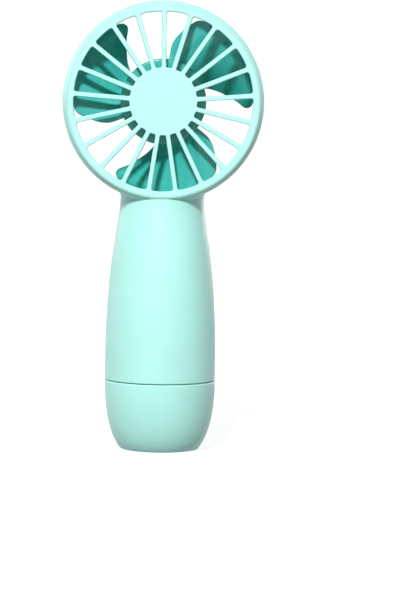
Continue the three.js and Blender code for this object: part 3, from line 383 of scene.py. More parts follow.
def duct():
    """The air's way through the head, with the grille's seat in front. It widens towards the rear."""
    seat_y = GRILLE_BACK_Y + FIT
    flare_start_y, flare_end_y, chamfer = FACE_Y + 7.5, 8.2, 0.35
    middle_r = DUCT_R + (DUCT_REAR_R - DUCT_R) * 0.6
    flare = cubic((DUCT_R, flare_start_y), (DUCT_R, -4.5), (middle_r, -3), (DUCT_REAR_R, flare_end_y), 12)
    profile = [
        (0, FACE_Y - 1),
        (PLATE_R + GRILLE_GAP, FACE_Y - 1),
        (PLATE_R + GRILLE_GAP, seat_y),
        (DUCT_R, seat_y, 0.25),
        *[tuple(p) for p in flare],
        (DUCT_REAR_R, REAR_Y - chamfer),
        (DUCT_REAR_R + chamfer, REAR_Y + 0.02),
        (DUCT_REAR_R + chamfer, REAR_Y + 1),
        (0, REAR_Y + 1),
    ]
    return on_head("duct", rounded(profile))


def grip_space():
    """The hollow inside the grip, with the groove that holds the collar's flange."""
    flange_low = high("threaded_collar").z - COLLAR_FLANGE
    collar_hole = high("cap_seal").x - 1.1
    shoulder_z, roof_z, shoulder = NECK_TOP_Z - 3.6, NECK_TOP_Z - 1.6, 4
    inside = [(r - GRIP_WALL, z) for r, z in grip_side(16) if z < NECK_TOP_Z - 4]
    profile = [
        (0, SEAM_Z - 1),
        (collar_hole, SEAM_Z - 1),
        (collar_hole, flange_low - FIT),
        (GRIP_R - GRIP_WALL, flange_low - FIT),
        *inside,
        (NECK_R - GRIP_WALL, shoulder_z),
        (NECK_R - GRIP_WALL - shoulder, roof_z),
        (0, roof_z),
    ]
    return lathe("grip_space", profile, "Z", steps=96)


def half_space(name, front, rear):
    """A slab wider and higher than the fan, between two depths."""
    beyond, below, above = 60, -10, 180
    return box(name, (-beyond, front, below), (beyond, rear, above))


def stadium_loop(half_width, half_high, steps=12):
    """The outline of a bar whose ends are half circles."""
    turn = np.linspace(-math.pi / 2, math.pi / 2, steps + 1)
    flat = half_width - half_high
    right = [(flat + half_high * math.cos(t), half_high * math.sin(t)) for t in turn]
    return right + [(-x, -z) for x, z in right]


def stadium(name, half_width, half_high, levels, z):
    """A bar with rounded ends along Y. Levels are (inset, y)."""
    return layered(
        name,
        lambda inset: [stadium_loop(half_width - inset, half_high - inset)],
        levels,
        lambda u, v, y: (u, y, z + v),
    )


def screw_hole(x, z):
    """The hole for a screw's shank and the wider counterbore for its head."""
    shank_r, head_r, seat_y, halfway, outside = 1.1, 2.1, SCREW_HEAD_Y - FIT, 13, 24
    profile = [(0, 0), (shank_r, 0), (shank_r, seat_y), (head_r, seat_y)]
    profile += [(head_r, halfway), (head_r, outside), (0, outside)]
    return lathe("screw_hole", profile, "Y", (x, z), steps=ROUND_SMALL)


def lead_passage():
    """The tunnel through the drum's wall that the motor's leads take down to the grip."""
    front, rear, half_width = 6.6, 9.3, 1.9
    tunnel = box("lead_passage", (DUCT_R - 2, front, -half_width), (DRUM_R + 9, rear, half_width))
    return turned_on_head(tunnel, LEAD_ARM)


def seam_tongue():
    """A thin tongue round the front half's edge, which keeps light from shining through the joint."""
    inset, front, rear = 0.7, -2 * PART_LINE, PART_LINE - 0.02
    stem_top = NECK_TOP_Z + 2.4
    tongue = on_head("tongue", [(0, front), (DRUM_R - inset, front), (DRUM_R - inset, rear), (0, rear)])
    side = [(r - inset, z) for r, z in grip_side(16)]
    profile = [(0, SEAM_Z + inset), (GRIP_R - inset, SEAM_Z + inset), *side]
    profile += [(NECK_R - inset, stem_top), (0, stem_top)]
    stem = combine(lathe("stem", profile, "Z"), half_space("slice", front, rear), "INTERSECT")
    return cut(combine(tongue, stem), duct(), grip_space())


def housing_halves():
    """The drum and grip as one hollow form, parted into the front and the rear shell."""
    outside = 60
    front = cut(combine(drum(), grip()), duct(), grip_space())
    rear = front.copy()
    rear.data = front.data.copy()
    scene.collection.objects.link(rear)
    front.name, rear.name = "front_shell", "rear_shell"
    combine(front, half_space("front_half", -outside, -PART_LINE), "INTERSECT")
    combine(front, seam_tongue())
    combine(rear, half_space("rear_half", PART_LINE, outside), "INTERSECT")
    cut(rear, *[screw_hole(x, z) for x, z in SCREWS], lead_passage())
    cut(rear, *control_openings())
    return front, rear


def control_openings():
    """The openings for the button, the light and the socket, whose mouth lies in a shallow dish."""
    inside, outside = high("control_board").y, 30
    dish_spare, dish_deep, dish_edge = 0.85, 0.75, 0.35
    through = [(0, inside), (0, outside)]
    button_r = high("button_bezel").x + FIT
    port_width, port_high = high("charge_socket").x + FIT, high("charge_socket").z - PORT_Z + FIT
    light_width, light_high = high("light_pipe").x + FIT, high("light_pipe").z - LIGHT_Z + FIT
    wall_y = grip_radius_at(PORT_Z)
    dish = [(dish_edge, wall_y - dish_deep), (0, wall_y - dish_deep + dish_edge), (0, outside)]
    button = [(0, inside), (button_r, inside), (button_r, outside), (0, outside)]
    return [
        lathe("button_hole", button, "Y", (0, BUTTON_Z), 96),
        stadium("port_hole", port_width, port_high, through, PORT_Z),
        stadium("port_dish", port_width + dish_spare, port_high + dish_spare, dish, PORT_Z),
        stadium("light_hole", light_width, light_high, through, LIGHT_Z),
    ]


def grip_radius_at(z):
    side = grip_side()
    return float(np.interp(z, side[:, 1], side[:, 0]))


# ================================================================ grille


def polar(radius, angle):
    return (radius * math.cos(angle), radius * math.sin(angle))


def bend(start, corner, end, steps=5):
    """A quadratic curve without its last point."""
    a, b, c = (np.array(p) for p in (start, corner, end))
    return [tuple((1 - t) ** 2 * a + 2 * t * (1 - t) * b + t**2 * c) for t in np.arange(steps) / steps]


def slot_loop(middle, grow):
    """One slot between parallel-sided spokes, made larger all round by grow."""
    inner, outer = SLOT_INNER_R - grow, SLOT_OUTER_R + grow
    round_in, round_out = 0.6 + grow, 1.1 + grow
    width = SPOKE_WIDTH - 2 * grow

    def half_at(radius):
        return math.pi / SPOKES - math.asin(width / 2 / radius)

    low_r, high_r = inner + round_in, outer - round_out
    trim_out, trim_in = round_out / outer, round_in / inner
    wide, narrow = half_at(outer), half_at(inner)
    loop = [polar(low_r, middle - half_at(low_r))]
    loop += bend(
        polar(high_r, middle - half_at(high_r)),
        polar(outer, middle - wide),
        polar(outer, middle - wide + trim_out),
    )
    arc = np.linspace(middle - wide + trim_out, middle + wide - trim_out, 8)
    loop += [polar(outer, angle) for angle in arc[:-1]]
    loop += bend(
        polar(outer, middle + wide - trim_out),
        polar(outer, middle + wide),
        polar(high_r, middle + half_at(high_r)),
    )
    loop.append(polar(high_r, middle + half_at(high_r)))
    loop += bend(
        polar(low_r, middle + half_at(low_r)),
        polar(inner, middle + narrow),
        polar(inner, middle + narrow - trim_in),
    )
    loop += bend(
        polar(inner, middle - narrow + trim_in),
        polar(inner, middle - narrow),
        polar(low_r, middle - half_at(low_r)),
    )
    return loop


def grille():
    """The front plate, with a slot between each two spokes."""
    slots = [math.pi / 2 + (i + 0.5) * 2 * math.pi / SPOKES for i in range(SPOKES)]

    def loops_at(inset):
        rim_r = PLATE_R - 0.5 * max(inset, 0)
        rim = [polar(rim_r, i / ROUND * 2 * math.pi) for i in range(ROUND)]
        return [rim, *[slot_loop(middle, inset) for middle in slots]]

    turns = np.linspace(0, math.pi / 2, 5)
    levels = [(EDGE * (1 - math.sin(t)), FACE_Y + EDGE * (1 - math.cos(t))) for t in turns]
    levels += [(-DRAFT, GRILLE_BACK_Y - BACK_EDGE), (BACK_EDGE - DRAFT, GRILLE_BACK_Y)]
    return layered("grille", loops_at, levels, lambda u, v, y: (u, y, HEAD_Z + v))


# ================================================================ impeller


def smooth_outline(share):
    """The leading and trailing angles at each share of the way from hub to tip."""
    known = np.array(BLADE_OUTLINE, float)
    dense = smooth_through(known, 200)
    order = np.maximum.accumulate(dense[:, 0])
    return np.stack([np.interp(share, order, dense[:, 1]), np.interp(share, order, dense[:, 2])], -1)


def blade(index):
    """A twisted blade with rounded edges, thicker at its root."""
    rows, columns = 46, 52
    sunk, root_back, tip_forward = 0.8, 1.2, 1.8
    root_thicker, root_reach = 1.1, 0.9
    share = 1 - (1 - np.linspace(0, 1, rows)) ** 1.6  # closer rows towards the tip
    outline = smooth_outline(share)
    across = (1 - np.cos(np.linspace(0, math.pi, columns))) / 2
    radius = HUB_R + (BLADE_TIP_R - HUB_R) * share
    radius[0] = HUB_R - sunk
    lead, trail = np.radians(outline[:, 0]), np.radians(outline[:, 1])
    angle = lead[:, None] + (trail - lead)[:, None] * across[None, :]
    rear_y = (HUB_REAR_Y - root_back) - tip_forward * share
    y = rear_y[:, None] + (BLADE_FRONT_Y - rear_y)[:, None] * np.sin(across * math.pi / 2)[None, :]
    middle = np.stack([radius[:, None] * np.cos(angle), y, radius[:, None] * np.sin(angle)], -1)
    normal = np.cross(np.gradient(middle, axis=0), np.gradient(middle, axis=1))
    normal /= np.linalg.norm(normal, axis=-1)[..., None] + 1e-12

    half_thick = BLADE_THICK / 2
    to_edge = np.minimum(angle - lead[:, None], trail[:, None] - angle) * radius[:, None]
    to_edge = np.minimum(to_edge, (BLADE_TIP_R - radius)[:, None])
    near = 1 - np.clip(to_edge / half_thick, 0, 1)
    root = 1 + root_thicker * np.exp(-np.maximum(radius - HUB_R, 0) / root_reach)
    half = half_thick * np.sqrt(1 - near**2) * root[:, None]
    top, under = middle + normal * half[..., None], middle - normal * half[..., None]
    faces = grid_faces(rows, columns)
    size = rows * columns
    faces += [[corner + size for corner in face] for face in grid_faces(rows, columns)]
    faces += [[c, c + 1, size + c + 1, size + c] for c in range(columns - 1)]
    piece = build("blade", np.concatenate([top.reshape(-1, 3), under.reshape(-1, 3)]), faces)
    return turned_on_head(piece, index * 360 / BLADES)


def impeller():
    """The hub, open behind, and its blades."""
    inside, front_wall = HUB_R - 1.9, 1.3
    profile = rounded(
        [
            (0, HUB_FRONT_Y),
            (HUB_R, HUB_FRONT_Y, 0.8),
            (HUB_R, HUB_REAR_Y, 0.3),
            (inside, HUB_REAR_Y, 0.2),
            (inside, HUB_FRONT_Y + front_wall),
            (0, HUB_FRONT_Y + front_wall),
        ],
        steps=6,
    )
    wheel = on_head("impeller_wheel", profile)
    for index in range(BLADES):
        combine(wheel, blade(index))
    return wheel


# ================================================================ bracket and hub cap


def bracket():
    """The motor's carrier: a ring with a floor, and three arms whose feet are bonded into the drum."""
    outer, inside = BRACKET_R, HUB_R - 2.95
    front, rear = BRACKET_FRONT_Y, BRACKET_FRONT_Y + 7.6
    floor_front, tube_r = front + 3, 3.7
    floor_rear = floor_front + 1.6
    profile = rounded(
        [
            (tube_r, floor_front),
            (inside, floor_front),
            (inside, front, 0.2),
            (outer, front, 0.4),
            (outer, rear, 0.4),
            (inside, rear, 0.2),
            (inside, floor_rear),
            (tube_r, floor_rear),
        ]
    )
    body = on_head("rear_bracket", profile, ring=True)
    arm_front = front + 1.4
    for angle in ARM_ANGLES:
        combine(body, combine(arm(arm_front, angle), arm_foot(arm_front, angle)))
    groove_floor, groove_half = arm_front + 1.9, 1.5
    groove = box("groove", (0, arm_front - 2, -groove_half), (DRUM_R, groove_floor, groove_half))
    return cut(body, turned_on_head(groove, LEAD_ARM))


def arm(front, angle):
    thick, half_wide = 3.6, 2.2
    inner, outer = (BRACKET_R - 0.8, front, -half_wide), (DUCT_REAR_R - 1, front + thick, half_wide)
    return turned_on_head(box("arm", inner, outer, 0.7), angle)


def arm_foot(front, angle):
    """An arm's wider end, which follows the inside of the drum's wall."""
    half_wide, wall_r = 4.5, DUCT_REAR_R - FIT
    inner, outer = (DUCT_REAR_R - 2.1, front - 1, -half_wide), (DRUM_R, front + 6.1, half_wide)
    foot = turned_on_head(box("foot", inner, outer, 0.5), angle)
    inner_wall = [(0, 5), (wall_r - 0.7, 5), (wall_r, 8.5), (wall_r, 16), (0, 16)]
    return combine(foot, on_head("rim", inner_wall), "INTERSECT")


def hub_cap():
    """The lid on the bracket's back, with a plug that sits inside the ring."""
    rear = high("rear_hub_cap").y
    plug_r, plug_deep, seat = BRACKET_R - 1.9, 1.4, rear - 1.1
    profile = [
        (0, seat - plug_deep),
        (plug_r, seat - plug_deep),
        (plug_r, seat),
        (BRACKET_R, seat, 0.15),
        (BRACKET_R, seat + 0.75, 0.45),
        (BRACKET_R - 2.2, rear - 0.1, 1.5),
        (BRACKET_R - 3.4, rear - 0.25, 0.4),
        (0, rear),
    ]
    return on_head("hub_cap", rounded(profile))


# ================================================================ grip's end: collar, seal, cap and foot


def ridge(name, root, crest, start_z, start_angle, turns):
    """A thread's ridge that climbs one lead per turn, with run-out at both ends."""
    steps_a_turn, run_out = 96, 9
    root_half, crest_half = 0.75, 0.4
    steps = int(turns * steps_a_turn)
    rows = []
    for i in range(steps + 1):
        turned = i / steps * turns
        angle, z = start_angle + turned * 2 * math.pi, start_z + turned * THREAD_LEAD
        rise = min(1, min(i, steps - i) / run_out)
        tip = root + (crest - root) * (0.12 + 0.88 * rise)
        heights = (z - root_half, z - crest_half, z + crest_half, z + root_half)
        section = zip((root, tip, tip, root), heights)
        rows.append([(r * math.cos(angle), r * math.sin(angle), height) for r, height in section])
    last = 4 * steps
    faces = grid_faces(steps + 1, 4, wrap_columns=True)
    faces += [[0, 1, 2, 3], [last, last + 1, last + 2, last + 3]]
    return build(name, np.array(rows), faces)


def collar():
    """The ring that the cap screws onto, held by its flange in the grip's groove."""
    bore, outer = 13.1, NECK_R
    bottom, top = low("threaded_collar").z, high("threaded_collar").z
    flange = high("threaded_collar").x
    profile = rounded(
        [
            (bore, bottom, 0.3),
            (outer, bottom, 0.4),
            (outer, top - COLLAR_FLANGE),
            (flange, top - COLLAR_FLANGE),
            (flange, top),
            (bore, top),
        ]
    )
    body = lathe("cap_thread_collar", profile, "Z", steps=ROUND, ring=True)
    root, crest, start_z, turns = outer - 0.3, outer + 1.1, bottom + 1.15, 1
    for start in THREAD_STARTS:
        combine(body, ridge("ridge", root, crest, start_z, start, turns))
    return body


def seal():
    bottom, top = low("cap_seal").z, high("cap_seal").z
    inner, outer = NECK_R + FIT, high("cap_seal").x
    corners = [(inner, bottom, 0.3), (outer, bottom, 0.45), (outer, top, 0.45), (inner, top, 0.3)]
    return lathe("seal_ring", rounded(corners), "Z", steps=ROUND, ring=True)


def bottom_cap():
    """The cap from its foot's recess round the outside and down inside to its floor."""
    foot_r, edge_z = GRIP_R - 5.95, low("bottom_cap").z
    pad_hole, pad_roof = high("foot_pad").x + FIT, 1.2
    bore, bore_low = NECK_R + 1.7, 10.7
    step_r, step_high, step_low = 13.8, 9.9, 7.7
    well_r, floor_z = 12.4, 2.2
    side = cubic((foot_r, edge_z), (GRIP_R - 2.3, 4), (GRIP_R, 13), (GRIP_R, CAP_TOP_Z - 1), 40)
    profile = rounded(
        [
            (0, pad_roof),
            (pad_hole, pad_roof),
            (pad_hole, edge_z, 0.15),
            (foot_r, edge_z, 0.25),
            *[tuple(p) for p in side[2:]],
            (GRIP_R, CAP_TOP_Z, 0.45),
            (bore, CAP_TOP_Z, 0.3),
            (bore, bore_low),
            (step_r, step_high),
            (step_r, step_low),
            (well_r, step_low),
            (well_r, floor_z),
            (0, floor_z),
        ],
        steps=5,
    )
    body = lathe("screw_cap", profile, "Z", steps=ROUND)
    root, crest, start_z, turns = bore + 0.3, NECK_R + 0.6, low("threaded_collar").z + 2.65, 0.6
    for start in THREAD_STARTS:
        combine(body, ridge("ridge", root, crest, start_z, start, turns))
    return body


def foot_pad():
    """The round pad, with shallow ring grooves in its underside."""
    radius, thick, deep, slope, wide = high("foot_pad").x, 1.0, 0.3, 0.2, 0.9
    corners = [(0, 0)]
    for start in (3.2, 7.2, 10.2):
        end = start + wide
        corners += [(start, 0), (start + slope, deep), (end - slope, deep), (end, 0)]
    corners += [(radius, 0, 0.3), (radius, thick), (0, thick)]
    return lathe("foot", rounded(corners), "Z", steps=96)


# ================================================================ controls on the back


def power_button():
    """The button with its dished face, the flange that keeps it in, and the stem that works the switch."""
    back, face = low("power_button").y, high("power_button").y
    flange = high("power_button").x
    flange_back, flange_face = back + 0.5, back + 1.4
    button_r, stem_r, dish_r, dish_deep = 5.0, 1.6, 4.2, 0.45
    dish = [(r, face - dish_deep * (1 - (r / dish_r) ** 2)) for r in np.linspace(0, dish_r, 9)]
    side = rounded(
        [
            (dish_r, face),
            (button_r, face, 0.35),
            (button_r, flange_face),
            (flange, flange_face, 0.1),
            (flange, flange_back, 0.1),
            (stem_r, flange_back),
            (stem_r, back),
            (0, back),
        ]
    )
    return lathe("push_button", dish[:-1] + side, "Y", (0, BUTTON_Z), steps=96)


def bezel():
    back, face = low("button_bezel").y, high("button_bezel").y
    inner, outer = 5.3, high("button_bezel").x
    corners = [(inner, back), (inner, face, 0.35), (outer, face, 0.4), (outer, back)]
    return lathe("button_ring", rounded(corners), "Y", (0, BUTTON_Z), steps=96, ring=True)


def light_pipe():
    back, face, half_high = low("light_pipe").y, high("light_pipe").y, 0.9
    levels = [(0, back), (0, face - 0.3), (0.09, face - 0.09), (0.3, face)]
    return stadium("light_strip", high("light_pipe").x, half_high, levels, LIGHT_Z)


def charge_socket():
    """The socket's metal shell with a rolled mouth, and its tongue with contacts on both sides."""
    back, mouth = low("charge_socket").y, high("charge_socket").y
    half_width, half_high, wall = high("charge_socket").x, high("charge_socket").z - PORT_Z, 0.3
    outside = [(0, back), (0, mouth - 0.12), (0.1, mouth)]
    inside = [(0, back + 1), (0, mouth - 0.15), (-0.12, mouth), (-0.12, mouth + 1)]
    shell = stadium("usb_socket", half_width, half_high, outside, PORT_Z)
    cut(shell, stadium("hollow", half_width - wall, half_high - wall, inside, PORT_Z))
    half, thick = 3.3, 0.35
    start, end = (-half, back + 0.5, PORT_Z - thick), (half, mouth - 0.7, PORT_Z + thick)
    tongue = box("socket_tongue", start, end, 0.1)
    return shell, tongue, [socket_contact(index, mouth) for index in range(12)]


def socket_contact(index, mouth):
    pitch, half, thick = 0.5, 0.13, 0.39
    x = (index - 5.5) * pitch
    start, end = (x - half, mouth - 2.6, PORT_Z - thick), (x + half, mouth - 0.95, PORT_Z + thick)
    return box(f"socket_contact_{index + 1}", start, end)


def screw(index):
    """A pointed screw with a cross in its domed head."""
    x, z = SCREWS[index]
    shank_r, head_r, top = 0.9, 1.9, SCREW_HEAD_Y + 1.4
    profile = rounded(
        [
            (0, SCREW_HEAD_Y - SCREW_LONG),
            (shank_r, SCREW_HEAD_Y - 10.4),
            (shank_r, SCREW_HEAD_Y),
            (head_r, SCREW_HEAD_Y, 0.1),
            (head_r, SCREW_HEAD_Y + 1.1, 0.5),
            (0, top),
        ]
    )
    body = lathe(f"case_screw_{index + 1}", profile, "Y", (x, z), steps=ROUND_SMALL)
    long, narrow, deep = 1.15, 0.26, 0.6
    for half_x, half_z in ((long, narrow), (narrow, long)):
        cut(body, box("cross", (x - half_x, top - deep, z - half_z), (x + half_x, top + 1, z + half_z)))
    return body


def motor_lead(name, side):
    """A lead from the motor's board, along the bottom arm and down the neck to the control board."""
    angle = math.radians(LEAD_ARM)
    y, aside, wire_r = BRACKET_FRONT_Y + 2.35, 0.75, 0.55

    def along_arm(radius):
        return (
            radius * math.cos(angle) - side * aside * math.sin(angle),
            y,
            HEAD_Z + radius * math.sin(angle) + side * aside * math.cos(angle),
        )

    x = along_arm(DRUM_R + 5)[0]
    board_back, board_top = high("control_board").y, high("control_board").z
    route = [
        along_arm(HUB_R - 5.85),
        along_arm(HUB_R + 1.65),
        along_arm(DUCT_R - 6),
        along_arm(DRUM_R + 1),
        along_arm(DRUM_R + 6),
        (x, board_back - 0.9, board_top + 4.4),
        (x, board_back + 0.9, board_top + 0.8),
        (x, board_back + 0.9, board_top - 2.5),
    ]
    return tube(name, smooth_through(route, 120), wire_r)


# ================================================================ materials


class Nodes:
    """A material's node tree, with a short way to add nodes."""

    def __init__(self, name):
        self.material = bpy.data.materials.new(name)
        self.material.use_nodes = True
        self.tree = self.material.node_tree
        self.shader = self.tree.nodes["Principled BSDF"]
        self.place = self.add("ShaderNodeTexCoord").outputs["Object"]

    def add(self, kind, inputs=(), **settings):
        node = self.tree.nodes.new(kind)
        for key, value in settings.items():
            setattr(node, key, value)
        for key, value in dict(inputs).items():
            self.feed(node.inputs[key], value)
        return node

    def feed(self, socket, value):
        if isinstance(value, bpy.types.NodeSocket):
            self.tree.links.new(value, socket)
        else:
            socket.default_value = value

    def set(self, **values):
        for key, value in values.items():
            self.feed(self.shader.inputs[key.replace("_", " ")], value)

    def noise(self, size, detail=2.0):
        """Noise whose features are about size millimetres across."""
        inputs = {"Vector": self.place, "Scale": 1 / (size * MM), "Detail": detail}
        return self.add("ShaderNodeTexNoise", inputs).outputs["Fac"]

    def spread(self, value, low_value, high_value):
        """Maps noise, which keeps near a half, to a range."""
        inputs = {"Value": value, "From Min": 0.3, "From Max": 0.7}
        inputs |= {"To Min": low_value, "To Max": high_value}
        return self.add("ShaderNodeMapRange", inputs).outputs["Result"]

    def mix(self, share, first, second):
        node = self.add("ShaderNodeMix", data_type="RGBA")
        self.feed(node.inputs[0], share)
        self.feed(node.inputs[6], (*first, 1))
        self.feed(node.inputs[7], (*second, 1))
        return node.outputs[2]

    def bump(self, height, depth):
        """Bump of that depth in millimetres."""
        inputs = {"Height": height, "Distance": depth * MM, "Strength": 1.0}
        return self.add("ShaderNodeBump", inputs).outputs["Normal"]


def shade(colour, factor):
    return tuple(min(1.0, channel * factor) for channel in colour)


def moulded(name, colour, roughness, grain=0.25, depth=0.004, glow=0.0, coat=0.0, shine=0.5):
    """Moulded plastic: a fine even grain, faint cloudiness and a slightly uneven shine. glow is the share
    of light that goes into it."""
    nodes = Nodes(name)
    cloud = nodes.noise(14, 3)
    nodes.set(
        Base_Color=nodes.mix(nodes.spread(cloud, 0, 1), shade(colour, 0.975), shade(colour, 1.02)),
        Roughness=nodes.spread(nodes.noise(3.5, 3), roughness - 0.035, roughness + 0.035),
        Normal=nodes.bump(nodes.noise(grain, 1.5), depth),
        Specular_IOR_Level=shine,
    )
    if glow:
        nodes.set(Subsurface_Weight=glow, Subsurface_Radius=(0.6, 1.0, 0.9), Subsurface_Scale=1.2 * MM)
    if coat:
        nodes.set(Coat_Weight=coat, Coat_Roughness=0.12)
    return nodes.material


def metal(name, colour, roughness, streak=(1, 1, 1)):
    """Drawn or turned metal, with fine streaks along one axis."""
    nodes = Nodes(name)
    stretch = nodes.add("ShaderNodeMapping", {"Vector": nodes.place, "Scale": streak})
    nodes.place = stretch.outputs["Vector"]
    streaks = nodes.noise(0.3, 3)
    nodes.set(
        Base_Color=nodes.mix(nodes.spread(streaks, 0, 1), shade(colour, 0.9), shade(colour, 1.05)),
        Metallic=1.0,
        Roughness=nodes.spread(streaks, roughness - 0.07, roughness + 0.09),
        Normal=nodes.bump(streaks, 0.002),
    )
    return nodes.material


def circuit_board(name):
    """Green solder mask over faint copper tracks."""
    nodes = Nodes(name)
    tracks = nodes.add("ShaderNodeTexBrick", {"Vector": nodes.place, "Scale": 260.0, "Mortar Size": 0.012})
    share = nodes.spread(tracks.outputs["Fac"], 0, 1)
    nodes.set(
        Base_Color=nodes.mix(share, (0.012, 0.13, 0.05), (0.03, 0.22, 0.09)),
        Roughness=nodes.spread(nodes.noise(1.2), 0.28, 0.42),
        Normal=nodes.bump(tracks.outputs["Fac"], 0.02),
    )
    return nodes.material


def winding(name):
    """Enamelled copper wire, wound in fine turns."""
    nodes = Nodes(name)
    turns = nodes.add("ShaderNodeTexWave", {"Vector": nodes.place, "Scale": 700.0, "Distortion": 0.4})
    nodes.set(
        Base_Color=nodes.mix(turns.outputs["Fac"], (0.35, 0.1, 0.03), (0.75, 0.3, 0.12)),
        Metallic=1.0,
        Roughness=nodes.spread(nodes.noise(0.8), 0.22, 0.36),
        Normal=nodes.bump(turns.outputs["Fac"], 0.06),
    )
    return nodes.material


def frosted(name):
    """Frosted clear plastic that carries the lamps' light."""
    nodes = Nodes(name)
    nodes.set(
        Base_Color=nodes.mix(nodes.spread(nodes.noise(0.7), 0, 1), (0.78, 0.9, 0.88), (0.9, 0.97, 0.96)),
        Roughness=nodes.spread(nodes.noise(0.4), 0.28, 0.42),
        Transmission_Weight=0.55,
        IOR=1.49,
        Normal=nodes.bump(nodes.noise(0.12), 0.004),
    )
    return nodes.material


MINT = (0.45, 0.88, 0.8)
TEAL = (0.038, 0.375, 0.335)

materials = {
    "mint_shell": moulded("mint_shell", MINT, 0.42, glow=0.12),
    "teal_blades": moulded("teal_blades", TEAL, 0.26, grain=0.5, depth=0.0008, shine=0.35),
    "steel": metal("steel", (0.62, 0.63, 0.65), 0.3, (1, 0.12, 1)),
    "magnet": metal("magnet", (0.1, 0.1, 0.11), 0.6),
    "brass": metal("brass", (0.72, 0.5, 0.2), 0.3, (1, 0.15, 1)),
    "copper_wire": winding("copper_wire"),
    "circuit_board": circuit_board("circuit_board"),
    "black_plastic": moulded("black_plastic", (0.018, 0.018, 0.02), 0.45, grain=0.2),
    "red_insulation": moulded("red_insulation", (0.42, 0.02, 0.015), 0.4, grain=0.3),
    "white_plastic": moulded("white_plastic", (0.78, 0.8, 0.78), 0.42, glow=0.1),
    "cell_sleeve": moulded("cell_sleeve", (0.05, 0.24, 0.5), 0.25, grain=1.2, depth=0.01, coat=0.3),
    "soft_rubber": moulded("soft_rubber", (0.2, 0.42, 0.37), 0.75, grain=0.35, depth=0.012),
    "clear_plastic": frosted("clear_plastic"),
    "button_plastic": moulded("button_plastic", MINT, 0.36, glow=0.12),
}
gilt = metal("gilt_contact", (0.85, 0.6, 0.25), 0.25)


# ================================================================ assembly


def dress(piece, slot, body, *nodes, sharp=32):
    """Gives a piece its material and shading, and lets it ride on its body in place of CAD nodes."""
    piece.data.materials.clear()
    piece.data.materials.append(materials[slot])
    piece.data.shade_smooth()
    piece.data.set_sharp_from_angle(angle=math.radians(sharp))
    step = piece.modifiers.new("weighted normals", "WEIGHTED_NORMAL")
    step.keep_sharp = True
    graph = bpy.context.evaluated_depsgraph_get()
    made = bpy.data.meshes.new_from_object(piece.evaluated_get(graph))
    piece.modifiers.clear()
    piece.data = made
    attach(piece, body)
    if nodes:
        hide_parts(*nodes)
    return piece


def assemble():
    front, rear = housing_halves()
    dress(front, "mint_shell", "handle", "front_housing")
    dress(rear, "mint_shell", "handle", "rear_housing")
    dress(grille(), "mint_shell", "handle", "front_grille")
    dress(bracket(), "mint_shell", "handle", "motor_bracket")
    dress(hub_cap(), "mint_shell", "handle", "rear_hub_cap")
    dress(impeller(), "teal_blades", "rotor", "impeller")
    dress(collar(), "white_plastic", "handle", "threaded_collar")
    dress(seal(), "soft_rubber", "handle", "cap_seal")
    dress(bottom_cap(), "mint_shell", "cap", "bottom_cap")
    dress(foot_pad(), "soft_rubber", "cap", "foot_pad")
    dress(power_button(), "button_plastic", "power_button", "power_button")
    dress(bezel(), "mint_shell", "handle", "button_bezel")
    dress(light_pipe(), "clear_plastic", "handle", "light_pipe")
    shell, tongue, contacts = charge_socket()
    dress(shell, "steel", "handle", "charge_socket")
    dress(tongue, "black_plastic", "handle")
    for contact in contacts:
        dress(contact, "steel", "handle")
        contact.data.materials[0] = gilt
    for index in range(len(SCREWS)):
        dress(screw(index), "steel", "handle", f"housing_screw_{index + 1}")
    dress(motor_lead("lead_red", 1), "red_insulation", "handle", "motor_lead_red")
    dress(motor_lead("lead_black", -1), "black_plastic", "handle", "motor_lead_black")


def dress_cad_nodes():
    """The pieces inside the fan keep their CAD shape and get the same materials."""
    for row in frame["record"]["subparts"]:
        node = frame["nodes"][row["node"]]
        node.data.materials.clear()
        node.data.materials.append(materials[row["material_slot"]])


# ================================================================ studio


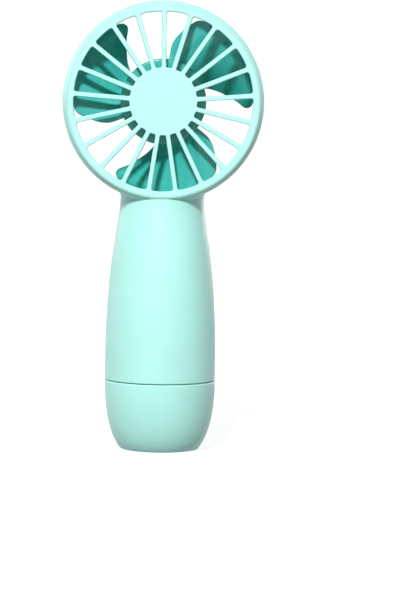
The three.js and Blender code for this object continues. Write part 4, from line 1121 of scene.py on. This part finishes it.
def studio_floor():
    """A round pale floor that sweeps up into a wall, in metres."""
    flat_r, sweep_r, wall_z = 1.0, 0.6, 1.6
    turns = np.linspace(0, math.pi / 2, 24)
    sweep = [(flat_r + sweep_r * math.sin(t), sweep_r - sweep_r * math.cos(t)) for t in turns]
    profile = [(0, 0), (0.3, 0), (0.7, 0), *sweep, (flat_r + sweep_r, wall_z)]
    floor = lathe("studio_floor", [(r / MM, z / MM) for r, z in profile], "Z", steps=96)
    nodes = Nodes("studio_paint")
    nodes.set(
        Base_Color=nodes.mix(nodes.spread(nodes.noise(60), 0, 1), (0.8, 0.8, 0.8), (0.82, 0.82, 0.82)),
        Roughness=0.9,
        Emission_Color=(1, 1, 1, 1),
        Emission_Strength=0.62,
    )
    floor.data.materials.append(nodes.material)
    floor.data.shade_smooth()
    # it neither lights the fan nor shades it
    floor.visible_diffuse = False
    floor.visible_shadow = False


def soft_light(name, azimuth, elevation, distance, size, power):
    """An area light aimed at the fan's middle. Azimuth 0 is in front of the fan and positive to its right;
    the distance and size are metres."""
    a, e = math.radians(azimuth), math.radians(elevation)
    away = Vector((math.sin(a) * math.cos(e), -math.cos(a) * math.cos(e), math.sin(e)))
    middle = Vector((0, 0, 0.09))
    data = bpy.data.lights.new(name, "AREA")
    data.shape, data.size, data.energy = "DISK", size, power
    light = bpy.data.objects.new(name, data)
    scene.collection.objects.link(light)
    light.location = middle + away * distance
    light.rotation_euler = away.to_track_quat("Z", "Y").to_euler()


def studio_lights():
    world = bpy.data.worlds.new("studio")
    world.use_nodes = True
    background = world.node_tree.nodes["Background"]
    background.inputs["Color"].default_value = (1, 1, 1, 1)
    background.inputs["Strength"].default_value = 0.24
    scene.world = world
    soft_light("key", -11, 38, 1.3, 0.16, 19.2)
    soft_light("rim_left", -135, 15, 0.8, 0.35, 1.0)
    soft_light("rim_right", 150, 10, 0.8, 0.35, 1.2)
    scene.view_settings.view_transform = "Standard"


def camera():
    """Straight in front of the head and looking slightly down. The fan stands left of the picture's middle
    and above it."""
    distance, eye_z = 874.5 * MM, 116.9 * MM
    yaw, down, roll = math.radians(-0.33), 2.69, math.radians(0.787)
    data = bpy.data.cameras.new("camera")
    data.sensor_width = 36
    data.lens = 144.5
    data.shift_x = 0.0646
    data.shift_y = -0.1
    eye = bpy.data.objects.new("camera", data)
    scene.collection.objects.link(eye)
    eye.location = (-distance * math.sin(yaw), -distance * math.cos(yaw), eye_z)
    eye.rotation_euler = Euler((math.radians(90 - down), 0, -yaw), "XYZ")
    eye.rotation_euler.rotate_axis("Z", roll)
    scene.camera = eye


dress_cad_nodes()
assemble()
studio_floor()
studio_lights()
camera()
